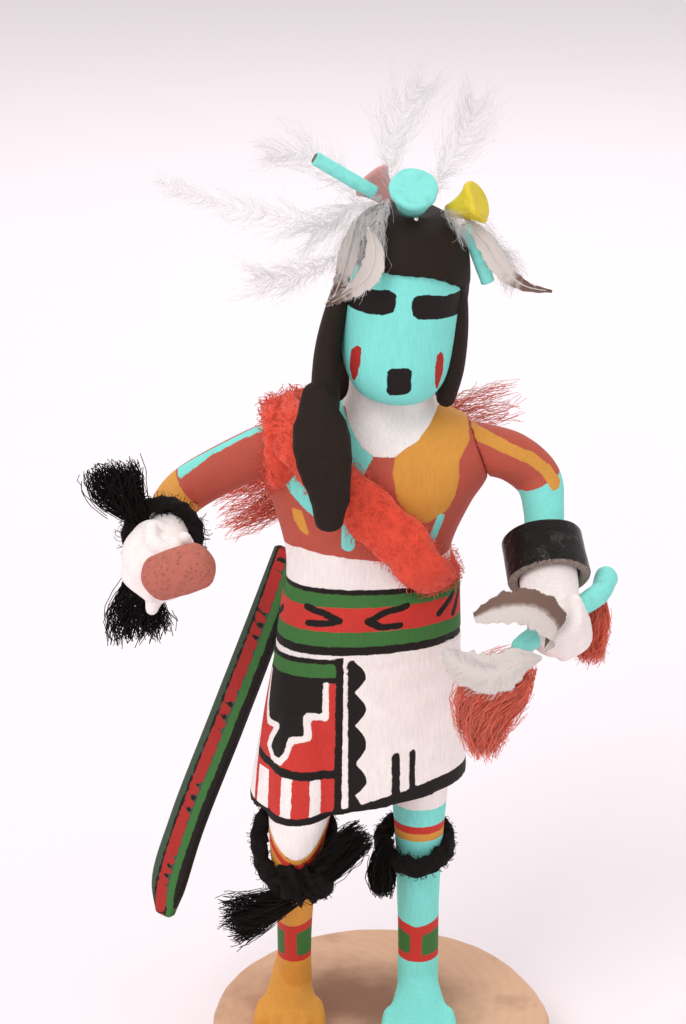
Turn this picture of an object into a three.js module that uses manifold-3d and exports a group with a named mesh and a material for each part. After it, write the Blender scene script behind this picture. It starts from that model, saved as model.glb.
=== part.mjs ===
// A carved and painted wooden dancer doll with yarn, leather and feather trim, on a slice of a log.
// Millimetres, +Z up. The origin is the middle of the base's underside, and the doll looks along -Y.
import * as THREE from "three";
import { mergeVertices } from "three/addons/utils/BufferGeometryUtils.js";
import Module from "manifold-3d";

const wasm = await Module();
wasm.setup();

// Driving sizes
const figureHeight = 200; // from the base's top to the crown of the hair
const gap = 0.3; // between pieces that touch
const grain = 0.004; // the finest detail of the carving
const baseRadius = 41;
const baseThickness = 12;
const baseEdge = 1.2; // worn edge of the slice
const hairDepth = 1.3; // how far the carved hair stands over the mask
const kiltLip = 2.2; // width of the kilt's rim round its hollow underside
const kiltHollow = 3;
const beltDepth = 0.9; // how far the carved belt stands over the waist
const cuffWall = 1.9; // thickness of the leather
const cuffLength = 10.5;
const cuffSlack = 2.6; // air between the leather and the forearm
const wristYarn = 2.3; // radii of the yarns
const kneeYarn = 2.1;
const sashYarnWide = 5; // the thick red yarn, half its width and half its thickness
const sashYarnThick = 2.3;
const rattleLength = 17;
const rattleRadius = 4.9;
const stickRadius = 1.5; // the two dowels beside the head
const leftStickLength = 15;
const rightStickLength = 13.5;
const bowRadius = 2.3;
const discRadius = 5.1; // the flat flower on the crown
const discStem = 3.1;
const discRim = 2;
const flowerRadius = 4.4; // the two cone flowers
const flowerNeck = 1.7;
const flowerLength = 7.6;
const pinRadius = 0.5;
const boardWidth = 9.5; // the hanging end of the dance sash
const boardThickness = 2.6;
const featherThickness = 0.9;
const plumeThickness = 1.1;

// How many sides the round forms have
const sidesOf = { kilt: 20, trunk: 16, base: 30, limb: 8, turned: 10, yarn: 5, finger: 5, blade: 4 };

// The figure is drawn on a grid of 200 parts of its height, from the base's top upwards.
const part = figureHeight / 200;
const at = (x, y, z) => new THREE.Vector3(x * part, y * part, baseThickness + z * part);

// Solids from points

function solidOf(geometry) {
  const plain = new THREE.BufferGeometry().setAttribute("position", geometry.getAttribute("position"));
  if (geometry.index) plain.setIndex(geometry.index);
  const merged = mergeVertices(plain, 1e-4);
  return new wasm.Manifold(
    new wasm.Mesh({
      numProp: 3,
      vertProperties: merged.attributes.position.array,
      triVerts: new Uint32Array(merged.index.array),
    }),
  );
}

// A closed solid through rings of points, with a fan over each end, or joined end to end.
function skin(rings, endToEnd = false) {
  const sides = rings[0].length;
  const points = rings.flat();
  const faces = [];
  const spans = endToEnd ? rings.length : rings.length - 1;
  for (let i = 0; i < spans; i++) {
    const low = i * sides;
    const high = ((i + 1) % rings.length) * sides;
    for (let j = 0; j < sides; j++) {
      const k = (j + 1) % sides;
      faces.push(low + j, low + k, high + k, low + j, high + k, high + j);
    }
  }
  if (!endToEnd) {
    for (const [first, turned] of [[0, true], [(rings.length - 1) * sides, false]]) {
      const middle = new THREE.Vector3();
      for (let j = 0; j < sides; j++) middle.add(points[first + j]);
      points.push(middle.divideScalar(sides));
      for (let j = 0; j < sides; j++) {
        const k = (j + 1) % sides;
        if (turned) faces.push(points.length - 1, first + k, first + j);
        else faces.push(points.length - 1, first + j, first + k);
      }
    }
  }
  const geometry = new THREE.BufferGeometry().setFromPoints(points);
  geometry.setIndex(faces);
  const made = solidOf(geometry);
  if (made.volume() > 0) return made;
  const flipped = [];
  for (let i = 0; i < faces.length; i += 3) flipped.push(faces[i], faces[i + 2], faces[i + 1]);
  geometry.setIndex(flipped);
  return solidOf(geometry);
}

// One level section: a rounded oval, with its turn about Z and its slope along X and Y.
function ring(x, y, z, halfX, halfY, { power = 2, turn = 0, slopeX = 0, sides = sidesOf.trunk } = {}) {
  const points = [];
  const angle = THREE.MathUtils.degToRad(turn);
  for (let i = 0; i < sides; i++) {
    const a = (i / sides) * Math.PI * 2;
    const u = Math.sign(Math.cos(a)) * Math.abs(Math.cos(a)) ** (2 / power) * halfX;
    const v = Math.sign(Math.sin(a)) * Math.abs(Math.sin(a)) ** (2 / power) * halfY;
    const dx = u * Math.cos(angle) - v * Math.sin(angle);
    const dy = u * Math.sin(angle) + v * Math.cos(angle);
    points.push(at(x + dx, y + dy, z + slopeX * dx));
  }
  return points;
}

const smooth = (points, closed = false) => new THREE.CatmullRomCurve3(points, closed, "centripetal");

// The value of a list of stops at a share of its length, eased between them.
function along(stops, share) {
  if (typeof stops === "number") return stops;
  const place = Math.min(Math.max(share, 0), 1) * (stops.length - 1);
  const low = Math.min(Math.floor(place), stops.length - 2);
  return THREE.MathUtils.lerp(stops[low], stops[low + 1], place - low);
}

// A limb, lock, cord or blade: an oval swept along a smooth line, with rounded ends.
// wide and thick are half sizes in millimetres, along the side direction and across it.
function limb(points, wide, thick, { side = [1, 0, 0], sides = sidesOf.limb, steps = 5, round = 1, power = 2 } = {}) {
  const curve = smooth(points);
  const sideways = new THREE.Vector3(...side);
  const rings = [];
  const section = (share, shrink, push) => {
    const centre = curve.getPoint(share);
    const ahead = curve.getTangent(share);
    const across = sideways.clone().addScaledVector(ahead, -sideways.dot(ahead)).normalize();
    const over = ahead.clone().cross(across);
    centre.addScaledVector(ahead, push);
    const points = [];
    for (let i = 0; i < sides; i++) {
      const a = (i / sides) * Math.PI * 2;
      const u = Math.sign(Math.cos(a)) * Math.abs(Math.cos(a)) ** (2 / power);
      const v = Math.sign(Math.sin(a)) * Math.abs(Math.sin(a)) ** (2 / power);
      points.push(
        centre
          .clone()
          .addScaledVector(across, u * along(wide, share) * shrink)
          .addScaledVector(over, v * along(thick, share) * shrink),
      );
    }
    return points;
  };
  const cap = (share, way) => {
    const reach = round * Math.min(along(wide, share), along(thick, share));
    const stops = sides >= sidesOf.limb ? [0.5, 0.88] : [0.75];
    return stops.map((s) => section(share, Math.sqrt(1 - s * s), way * reach * s));
  };
  if (round) rings.push(...cap(0, -1).reverse());
  for (let i = 0; i <= steps; i++) rings.push(section(i / steps, 1, 0));
  if (round) rings.push(...cap(1, 1));
  return skin(rings);
}

// A yarn that runs round something and back to its start. wide lies along the surface.
function loop(points, middle, wide, thick, steps = 14) {
  const sides = sidesOf.yarn;
  const curve = smooth(points, true);
  const rings = [];
  for (let i = 0; i < steps; i++) {
    const share = i / steps;
    const centre = curve.getPoint(share);
    const ahead = curve.getTangent(share);
    const out = centre.clone().sub(middle);
    out.addScaledVector(ahead, -out.dot(ahead)).normalize();
    const over = ahead.clone().cross(out);
    const points = [];
    for (let j = 0; j < sides; j++) {
      const a = (j / sides) * Math.PI * 2;
      points.push(
        centre
          .clone()
          .addScaledVector(out, Math.cos(a) * thick)
          .addScaledVector(over, Math.sin(a) * wide),
      );
    }
    rings.push(points);
  }
  return skin(rings, true);
}

// A turned piece along a direction: each stop is [distance along, radius].
function turned(start, direction, stops, grow = 0, sides = sidesOf.turned) {
  const last = stops.at(-1)[0] + grow;
  const profile = [new THREE.Vector2(0, -grow), new THREE.Vector2(stops[0][1] + grow, -grow)];
  for (const [distance, radius] of stops.slice(1, -1)) profile.push(new THREE.Vector2(radius + grow, distance));
  profile.push(new THREE.Vector2(stops.at(-1)[1] + grow, last), new THREE.Vector2(0, last));
  const geometry = new THREE.LatheGeometry(profile, sides);
  geometry.deleteAttribute("normal");
  geometry.deleteAttribute("uv");
  const turn = new THREE.Quaternion().setFromUnitVectors(new THREE.Vector3(0, 1, 0), direction.clone().normalize());
  geometry.applyQuaternion(turn).translate(start.x, start.y, start.z);
  const made = solidOf(geometry);
  if (made.volume() > 0) return made;
  const order = [];
  for (let i = 0; i < geometry.index.count; i += 3) {
    order.push(geometry.index.getX(i), geometry.index.getX(i + 2), geometry.index.getX(i + 1));
  }
  geometry.setIndex(order);
  return solidOf(geometry);
}

// A big block whose lower face passes through a point, facing against a direction, for cutting.
function halfSpace(point, direction, size = 400) {
  const geometry = new THREE.BoxGeometry(size, size, size).translate(0, 0, size / 2);
  geometry.deleteAttribute("normal");
  geometry.deleteAttribute("uv");
  const turn = new THREE.Quaternion().setFromUnitVectors(new THREE.Vector3(0, 0, 1), direction.clone().normalize());
  geometry.applyQuaternion(turn).translate(point.x, point.y, point.z);
  return solidOf(geometry);
}

const joined = (solids) => solids.reduce((all, next) => all.add(next));

// The largest body of a solid, without the crumbs a cut leaves.
const whole = (solid) => solid.decompose().sort((a, b) => b.volume() - a.volume())[0];

// The figure, from the waist down

const pelvis = { slope: 0.07 }; // the waist dips to the right

// Kilt sections: height, middle x and y, half width, half depth and turn about Z.
const kiltSections = [
  [64.5, -5.6, -2.6, 25.4, 15.6, 16],
  [70, -5.3, -2.4, 24.8, 15.2, 15],
  [84, -4.4, -1.5, 23, 13.9, 11],
  [97, -3.6, -0.4, 21.2, 12.4, 7],
];
// The belt, over the rolled top of the kilt: height, middle x and y, half width, half depth, turn
// and how much of the belt's depth stands out there.
const beltSections = [
  [97, -3.6, -0.4, 20.4, 11.8, 7, 1],
  [99.4, -3.5, -0.4, 20.3, 11.8, 7, 1],
  [100.2, -3.5, -0.4, 20.2, 11.7, 7, 0.1],
  [100.8, -3.4, -0.4, 20.1, 11.7, 6, 1],
  [112.4, -2.8, 0, 19.1, 11, 4, 1],
  [113.5, -2.8, 0, 18.8, 10.8, 4, 0.1],
];

function kilt(grow) {
  const section = ([z, x, y, halfX, halfY, turn], inset = 0, lift = 0) =>
    ring(x, y, z + lift, halfX + grow - inset, halfY + grow - inset, {
      power: 2.25,
      turn,
      slopeX: pelvis.slope,
      sides: sidesOf.kilt,
    });
  const hem = kiltSections[0];
  const hollow = grow > 0 ? [] : [section(hem, kiltLip, kiltHollow), section(hem, kiltLip)];
  const skirt = skin([...hollow, ...kiltSections.map((s) => section(s)), section([99, -3.5, -0.3, 19, 10.6, 6])]);
  const belt = beltSections.map(([z, x, y, halfX, halfY, turn, share]) => {
    const over = grow + beltDepth * share;
    return ring(x, y, z, halfX + over, halfY + over, { power: 2.2, turn, slopeX: pelvis.slope, sides: sidesOf.kilt });
  });
  return skirt.add(skin(belt));
}

// A leg: hip, knee, calf and ankle, and the foot's outline along Y.
const standingLeg = {
  line: [at(8.2, -2.5, 80), at(8.5, -2.5, 64), at(8.6, -2.2, 50), at(8.6, -0.5, 34), at(8.8, 0.5, 20), at(8.8, 1, 8)],
  wide: [8, 6.7, 5.6, 5, 4.8, 4.9],
  thick: [8.5, 6.9, 5.6, 5.2, 5, 5.2],
  foot: { x: 8.9, heel: 8.5, toe: -19.5, wide: 9 },
};
const steppingLeg = {
  line: [at(-16.5, -7, 84), at(-18.5, -13.5, 66), at(-19.6, -15.6, 56), at(-20.2, -10.5, 38), at(-20.6, -2.5, 20), at(-20.6, 3, 8)],
  wide: [8.2, 7.4, 6.2, 4.4, 4, 4.1],
  thick: [8.5, 7.8, 6.4, 4.6, 4.2, 4.6],
  foot: { x: -21.6, heel: 10.5, toe: -11.5, wide: 8.2 },
};
const toeCount = 5;

function leg({ line, wide, thick, foot }, grow) {
  const sized = (list) => list.map((r) => r * part + grow);
  const shin = limb(line, sized(wide), sized(thick), { steps: 7, round: 0 });
  // The foot's shares of its length, half width, height and how far its middle is lifted.
  const sections = [
    [0, 0.42, 7],
    [0.08, 0.54, 10.5],
    [0.3, 0.6, 13],
    [0.5, 0.74, 9.5],
    [0.72, 0.94, 6.4],
    [0.86, 1, 5],
  ];
  const length = foot.toe - foot.heel;
  const rings = sections.map(([share, width, height]) => {
    const points = [];
    for (let i = 0; i < sidesOf.limb; i++) {
      const a = (i / sidesOf.limb) * Math.PI * 2;
      const x = foot.x + Math.cos(a) * (foot.wide * width + grow);
      const z = Math.sin(a) * (height + grow);
      points.push(at(x, foot.heel + length * share, z));
    }
    return points;
  });
  const toes = [];
  for (let i = 0; i < toeCount; i++) {
    const place = (i / (toeCount - 1)) * 2 - 1;
    const x = foot.x + place * foot.wide * 0.78;
    const reach = foot.toe + Math.abs(place) ** 2 * 2.2;
    const radius = (foot.wide * 0.245 + grow) * part;
    toes.push(
      limb([at(x * 0.98 + foot.x * 0.02, foot.heel + length * 0.74, 2.6), at(x, reach + 2.2, 1.7)], radius, radius * 1.05, {
        sides: sidesOf.finger,
        steps: 1,
      }),
    );
  }
  const made = joined([skin(rings), shin, ...toes]);
  return made.subtract(halfSpace(at(0, 0, 0).add(new THREE.Vector3(0, 0, gap)), new THREE.Vector3(0, 0, -1)));
}

// The figure, from the waist up

// Trunk sections: height, middle x, half width, half depth.
const trunkSections = [
  [98, -3.2, 18, 10.4],
  [112, -2.9, 19, 11],
  [121, -3.5, 18.4, 10.9],
  [132.5, -2.6, 22, 12],
  [138.5, -2, 25, 12.6],
  [144, -1.3, 25, 12.3],
  [148.6, -0.3, 22, 11],
  [151.4, 0.5, 18, 9.6],
  [153.4, 0.9, 14, 8.6],
  [156.4, 1.3, 9.9, 8],
  [166, 2.2, 9.8, 8.4],
];
// The planes where the arms are glued on, as a point and a direction out of the trunk.
const armJoints = {
  left: { point: at(20.6, 0, 145.5), out: new THREE.Vector3(0.94, 0, 0.34) },
  right: { point: at(-22.8, 0, 145.5), out: new THREE.Vector3(-0.94, 0, 0.34) },
};

function trunk(grow) {
  const rings = trunkSections.map(([z, x, halfX, halfY]) =>
    ring(x, 0.3, z, halfX + grow, halfY + grow, { power: z > 150 ? 2 : 2.4, slopeX: 0.02 }),
  );
  let made = skin(rings);
  for (const { point, out } of Object.values(armJoints)) {
    made = made.subtract(halfSpace(point.clone().addScaledVector(out.clone().normalize(), grow), out));
  }
  return made;
}

// The head is drawn upright about its own middle and then leans to its left.
const head = { x: 3.6, lean: 0.09, chin: 159.6 };
const leaning = (x, z) => head.x + x + (z - 180) * head.lean;
// Mask sections: height, half width, half depth, and how far the middle is forward.
const maskSections = [
  [159.6, 4.6, 4.2, 10.5],
  [160.8, 8, 7.6, 8.4],
  [163.4, 10.2, 10.8, 6.4],
  [167, 11.7, 13.2, 4.6],
  [172, 12.6, 14.6, 3.1],
  [179, 12.9, 15, 2.3],
  [186, 12.7, 14.9, 1.9],
  [192, 11.6, 13.8, 1.4],
  [196.5, 9, 11.2, 1],
  [199, 4.8, 6.4, 0.6],
];

function skull(grow) {
  return skin(
    maskSections.map(([z, halfX, halfY, forward]) =>
      ring(leaning(0, z), -forward, z, halfX + grow, halfY + grow, { power: 2.15, slopeX: -head.lean }),
    ),
  );
}

const hairSections = [
  [164, 12.6, 11.5, -1.5],
  [170, 12.9, 13, -0.5],
  [179, 12.9, 14.5, 1.2],
  [186, 12.7, 14.9, 1.9],
  [192, 11.6, 13.8, 1.4],
  [196.5, 9, 11.2, 1],
  [199, 4.8, 6.4, 0.6],
];
const fringeHeight = 187.6; // the lower edge of the fringe over the mask
const faceFront = -2; // the hair frames the mask in front of this

function hair(grow) {
  const cap = skin(
    hairSections.map(([z, halfX, halfY, forward], i) => {
      const over = hairDepth + grow;
      const lift = i === hairSections.length - 1 ? over : 0;
      return ring(leaning(0, z), -forward, z + lift, halfX + over, halfY + over, {
        power: 2.15,
        slopeX: -head.lean,
      });
    }),
  );
  // The window for the mask: everything in front of the ears and under the fringe.
  const window = new THREE.BoxGeometry(60, 60, 60);
  window.deleteAttribute("normal");
  window.deleteAttribute("uv");
  window.rotateY(head.lean);
  const corner = at(leaning(0, fringeHeight), faceFront, fringeHeight);
  window.translate(corner.x, corner.y - 30, corner.z - 30);
  const framed = grow > 0 ? cap : cap.subtract(solidOf(window));
  const grown = (list) => list.map((r) => r * part + grow);
  // Hair hanging down the back.
  const back = limb(
    [at(4, 5, 186), at(2.6, 9.5, 168), at(1.4, 12.8, 150), at(0.8, 14.6, 134), at(0.6, 14.8, 124)],
    grown([10, 12.8, 13.6, 13, 10.4]),
    grown([8, 5, 3.6, 3, 2.2]),
    { power: 2.5 },
  );
  // The short strand on the left side of the face.
  const leftStrand = limb(
    [at(13.6, -3.4, 190), at(15.2, -5.2, 178), at(14.4, -6, 166), at(13.1, -6.4, 158.8)],
    grown([2.4, 2.5, 2.7, 2.2]),
    grown([3.6, 4.4, 4.4, 3]),
  );
  // The strand on the right that runs into the lock over the shoulder.
  const rightStrand = limb(
    [at(-6, -4, 190), at(-9.2, -6, 180), at(-11.6, -8.6, 170), at(-12.6, -12, 160), at(-13.2, -16, 153)],
    grown([2.4, 3, 3.4, 3.4, 3]),
    grown([3.6, 4.6, 5, 4.4, 3]),
  );
  const lock = limb(
    [at(-14.6, -15, 162), at(-13.9, -18.6, 155), at(-12.8, -20.6, 147.5), at(-11.9, -21, 141), at(-12.1, -21, 136.5)],
    grown([3.4, 5.9, 5.7, 4.3, 2.9]),
    grown([3, 4.3, 4.3, 3.6, 2.6]),
  );
  return joined([framed, back, leftStrand, rightStrand, lock]);
}

function figure(grow = 0) {
  const top = joined([trunk(grow), skull(grow), hair(grow)]);
  return joined([kilt(grow), leg(standingLeg, grow), leg(steppingLeg, grow), top]);
}

// The arms

const leftArm = {
  line: [
    at(12, 0.5, 146),
    at(21, 0.5, 144.6),
    at(28.4, 0.4, 142.6),
    at(34, 0.2, 137.6),
    at(35, -5.6, 132.6),
    at(34.6, -14.8, 126.4),
    at(35.4, -22.6, 120.6),
  ],
  radii: [6, 5.7, 5.5, 5.2, 4.5, 4.2, 4.2],
  hand: at(36, -26.4, 116.4),
  forward: new THREE.Vector3(0.08, -0.78, -0.62).normalize(),
};
const rightArm = {
  line: [
    at(-14, 0.5, 147),
    at(-23, 0.8, 145.4),
    at(-34, 1.2, 140.4),
    at(-43.6, 0, 135),
    at(-46.8, -6, 132.6),
    at(-47, -14, 131.6),
    at(-46.8, -22, 131),
  ],
  radii: [6, 5.7, 5.4, 5.2, 4.9, 4.6, 4.6],
  hand: at(-46.6, -28.6, 130),
  forward: new THREE.Vector3(0, -0.99, -0.08).normalize(),
};

// A fist: a rounded palm with four fingers curled over what it holds, and a thumb.
function fist(centre, { side, forward, size, thumb }, grow) {
  const down = side.clone().cross(forward).normalize();
  const palm = limb(
    [centre.clone().addScaledVector(forward, -size * 0.75), centre.clone().addScaledVector(forward, size * 0.5)],
    [size * 0.62 + grow, size * 0.9 + grow],
    [size * 0.7 + grow, size * 0.98 + grow],
    { side: side.toArray(), steps: 2, round: 0.8 },
  );
  const fingers = [];
  for (let i = 0; i < 4; i++) {
    const shift = (i - 1.5) * size * 0.44;
    const middle = centre.clone().addScaledVector(down, shift).addScaledVector(forward, size * 0.28);
    const radius = size * 0.27 + grow;
    fingers.push(
      limb(
        [
          middle.clone().addScaledVector(side, size * 0.8).addScaledVector(forward, -size * 0.3),
          middle.clone().addScaledVector(side, size * 0.72).addScaledVector(forward, size * 0.42),
          middle.clone().addScaledVector(side, size * 0.05).addScaledVector(forward, size * 0.8),
        ],
        radius,
        radius,
        { side: down.toArray(), sides: sidesOf.finger, steps: 2 },
      ),
    );
  }
  const start = centre.clone().addScaledVector(side, -size * 0.45).addScaledVector(down, size * 0.3);
  const tip = centre.clone().addScaledVector(down, size * thumb).addScaledVector(forward, size * 0.7);
  const radii = [0.34, 0.3, 0.2].map((share) => size * share + grow);
  const thumbSolid = limb([start, start.clone().lerp(tip, 0.55), tip], radii, radii, {
    side: side.toArray(),
    sides: sidesOf.finger,
    steps: 2,
  });
  return joined([palm, ...fingers, thumbSolid]);
}

const handSize = 7.6 * part;
const hands = {
  left: { side: new THREE.Vector3(0.96, -0.2, 0.2).normalize(), size: handSize * 0.9, thumb: 0.9 },
  right: { side: new THREE.Vector3(-0.86, -0.1, 0.5).normalize(), size: handSize, thumb: 1.15 },
};

function arm(shape, joint, hand, grow = 0) {
  const radii = shape.radii.map((r) => r * part + grow);
  const bone = limb(shape.line, radii, radii, { side: [0, 1, 0.2], steps: 9, round: 0 });
  const made = bone.add(fist(shape.hand, { ...hand, forward: shape.forward }, grow));
  const cut = joint.point.clone().addScaledVector(joint.out.clone().normalize(), gap - grow);
  return made.subtract(halfSpace(cut, joint.out.clone().negate()));
}

// What the hands hold

const rattleAxis = new THREE.Vector3(0.84, -0.3, 0.4).normalize();
const rattleCentre = rightArm.hand.clone().add(new THREE.Vector3(3.4, -10.8, 1.6).multiplyScalar(part));

function rattle(grow = 0) {
  const half = rattleLength / 2 - rattleRadius * 0.8;
  const ends = [-half, 0, half].map((d) => rattleCentre.clone().addScaledVector(rattleAxis, d));
  const radius = rattleRadius + grow;
  return limb(ends, [radius * 0.96, radius, radius * 0.96], radius * 0.94, {
    side: [0, -0.5, 1],
    steps: 3,
    round: 0.8,
    power: 2.4,
  });
}

const bowLine = [
  at(48.4, -14, 119.6),
  at(46.6, -18.4, 118.2),
  at(41, -24, 116.6),
  at(33.6, -30.4, 114.6),
  at(28.6, -35, 112.6),
];
const bow = (grow = 0) =>
  limb(bowLine, [bowRadius * 1.25 + grow, bowRadius + grow, bowRadius + grow], bowRadius + grow, {
    side: [0, 0, 1],
    sides: sidesOf.yarn,
    steps: 6,
  });

// The leather cuff, a short tube round the left forearm.
const cuffMiddle = at(34.8, -16.4, 125.2);
const cuffAxis = new THREE.Vector3(0.12, -0.76, -0.63).normalize();

function cuff(grow) {
  const inner = leftArm.radii[5] * part + cuffSlack;
  const start = cuffMiddle.clone().addScaledVector(cuffAxis, -cuffLength / 2);
  const outerStops = [
    [0, inner + cuffWall - 0.2],
    [0.6, inner + cuffWall],
    [cuffLength - 0.5, inner + cuffWall + 0.35],
    [cuffLength, inner + cuffWall + 0.1],
  ];
  const outer = turned(start, cuffAxis, outerStops, grow, sidesOf.trunk);
  const boreStart = start.clone().addScaledVector(cuffAxis, -1);
  const boreStops = [[0, inner - 0.1 - grow], [cuffLength + 2, inner + 0.3 - grow]];
  return outer.subtract(turned(boreStart, cuffAxis, boreStops, 0, sidesOf.trunk));
}

// Yarn

// A tuft of loose yarn: thin where it is tied, full in the middle and blunt at its end.
function tuft(grow, points, wide, thick, options = {}) {
  const grown = (list) => list.map((r) => r + grow);
  return limb(points, grown(wide), grown(thick), { sides: sidesOf.yarn, steps: 3, round: 0.6, ...options });
}

function wristTie(grow) {
  const middle = at(-48, -16.4, 130.4);
  const reach = rightArm.radii[5] * part + gap + wristYarn;
  const points = [];
  for (let i = 0; i < 12; i++) {
    const a = (i / 12) * Math.PI * 2;
    points.push(middle.clone().add(new THREE.Vector3(Math.cos(a) * reach, Math.sin(a) * 0.8, Math.sin(a) * reach)));
  }
  const band = loop(points, middle, wristYarn * 1.15 + grow, wristYarn + grow);
  const upper = tuft(
    grow,
    [at(-51.8, -17, 134.4), at(-55.4, -17.6, 138.8), at(-57.8, -18, 143.6), at(-58.6, -18, 147.6)],
    [2.2, 4.4, 6.4, 6.2],
    [2, 3, 3.4, 2.8],
  );
  const lower = tuft(
    grow,
    [at(-51, -17.6, 124.4), at(-53, -18, 118.6), at(-53.8, -18.2, 112.4), at(-52.8, -18, 107)],
    [2.4, 4.6, 7, 7.6],
    [2, 3, 3.4, 2.8],
  );
  return joined([band, upper, lower]);
}

function kneeTie({ middle, reachX, reachY, tilt, tufts }, grow) {
  const points = [];
  for (let i = 0; i < 12; i++) {
    const a = (i / 12) * Math.PI * 2;
    const y = Math.sin(a) * reachY;
    points.push(middle.clone().add(new THREE.Vector3(Math.cos(a) * reachX, y, y * tilt)));
  }
  const band = loop(points, middle, kneeYarn * 1.2 + grow, kneeYarn + grow);
  return joined([band, ...tufts.map((shape) => tuft(grow, ...shape))]);
}

const standingTie = {
  middle: at(7.6, -2.2, 48.6),
  reachX: 5.1 * part + gap + kneeYarn,
  reachY: 5.7 * part + gap + kneeYarn,
  tilt: 0.3,
  tufts: [
    [
      [at(1.6, -6.6, 50.6), at(0.2, -8.2, 47), at(-0.2, -8.6, 42.4), at(0.4, -8.6, 38)],
      [2.2, 2.8, 3.2, 2.2],
      [2, 2.2, 2.2, 1.6],
    ],
  ],
};
const steppingTie = {
  middle: at(-20.2, -13.4, 54.6),
  reachX: 5.6 * part + gap + kneeYarn,
  reachY: 6.6 * part + gap + kneeYarn,
  tilt: 0.82,
  tufts: [
    [
      [at(-22.6, -21, 48.6), at(-18.4, -22, 48), at(-13.8, -21.4, 47.4)],
      [3.2, 3.8, 3],
      [3, 3.2, 2.6],
    ],
    [
      [at(-19.6, -21.8, 46.6), at(-24.6, -21.4, 43), at(-30.4, -20.4, 39.4), at(-36, -19.2, 36.6)],
      [3, 3.6, 5, 6.2],
      [2.6, 2.8, 3.2, 2.6],
      { side: [0.6, 0, 1] },
    ],
    [
      [at(-16.6, -21.6, 48.6), at(-12, -21, 52.4), at(-7.4, -19.4, 57), at(-3.6, -18.2, 59.6)],
      [3, 3.6, 4, 3.4],
      [2.6, 2.6, 2.4, 1.8],
      { side: [0.6, 0, -1] },
    ],
  ],
};

// The thick red yarn: over the right shoulder, across the chest to the left hip and round the back,
// with a turn round the shoulder where the arm is glued on.
function redBandolier(grow) {
  const middle = at(-1, 0, 134);
  const wide = sashYarnWide + grow;
  const thick = sashYarnThick + grow;
  const off = sashYarnThick * 0.6;
  const front = -12.3 - off;
  const points = [
    at(-22, 1, 153.6),
    at(-20.6, -8, 151.4),
    at(-13.4, front - 0.2, 144.8),
    at(-3.6, front - 0.4, 135),
    at(5, front - 0.2, 126),
    at(10.8, -11.2 - off, 119.6),
    at(15.6, -7, 116.8),
    at(17, -0.5, 117.6),
    at(15.6, 7, 119.8),
    at(8, 13 + off, 126),
    at(-2, 17.4 + off, 135),
    at(-11, 15 + off, 144),
    at(-18.6, 9, 151.2),
  ];
  const across = loop(points, middle, wide, thick, 24);
  const shoulder = at(-22.2, 0.8, 145);
  const around = [];
  for (let i = 0; i < 10; i++) {
    const a = (i / 10) * Math.PI * 2;
    const reach = new THREE.Vector3(-0.6 * Math.sin(a), 6.4 * Math.cos(a), 6.6 * Math.sin(a)).multiplyScalar(part);
    around.push(shoulder.clone().add(reach).addScaledVector(reach.clone().setX(0).normalize(), sashYarnThick));
  }
  const armhole = loop(around, shoulder, wide * 0.86, thick);
  const knot = tuft(grow, [at(-3, 20, 137), at(3, 20.4, 135)], [4.6, 4.6], [3.6, 3.6], { steps: 2 });
  const tails = [
    tuft(
      grow,
      [at(-2, 20, 138), at(-14, 21, 141), at(-26, 20.4, 138), at(-35, 19.4, 132)],
      [3.4, 5, 7, 7.4],
      [2.6, 3, 3, 2.2],
      { side: [0, 0, 1] },
    ),
    tuft(
      grow,
      [at(2, 20, 137), at(12, 21, 148), at(21, 21, 157), at(30, 20, 161)],
      [3.2, 4.2, 5, 4.4],
      [2.6, 2.8, 2.6, 2],
      { side: [-0.6, 0, 1] },
    ),
    tuft(
      grow,
      [at(2, 20, 135), at(9, 20.6, 128), at(15, 20, 121)],
      [3.4, 5, 5.4],
      [2.6, 2.8, 2.4],
      { side: [0.7, 0, 0.7] },
    ),
  ];
  return joined([across, armhole, knot, ...tails]);
}

const tassels = {
  tassel_front: [
    [at(29.4, -36.4, 110.6), at(25.6, -35.6, 106), at(22.4, -33.6, 99.8), at(21.4, -31, 92), at(22.4, -29.6, 84.6)],
    [4, 6.8, 7.6, 5, 2],
    [2.6, 3.6, 3.6, 2.8, 1.6],
    { steps: 5 },
  ],
  tassel_back: [
    [at(45.6, -17, 116), at(46, -17.4, 111.6), at(45.2, -18, 106), at(44.6, -18.4, 102)],
    [2.6, 3.2, 3.2, 2.2],
    [2.4, 2.8, 2.6, 1.8],
  ],
};

// Feathers

// A feather: a thin curved blade, narrow at the quill, as wide as its vane and pointed.
function feather({ points, wide, side }, thickness, grow) {
  const grown = wide.map((r) => r + grow);
  return limb(points, grown, thickness / 2 + grow, { side, sides: sidesOf.blade, steps: 6 });
}

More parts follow.
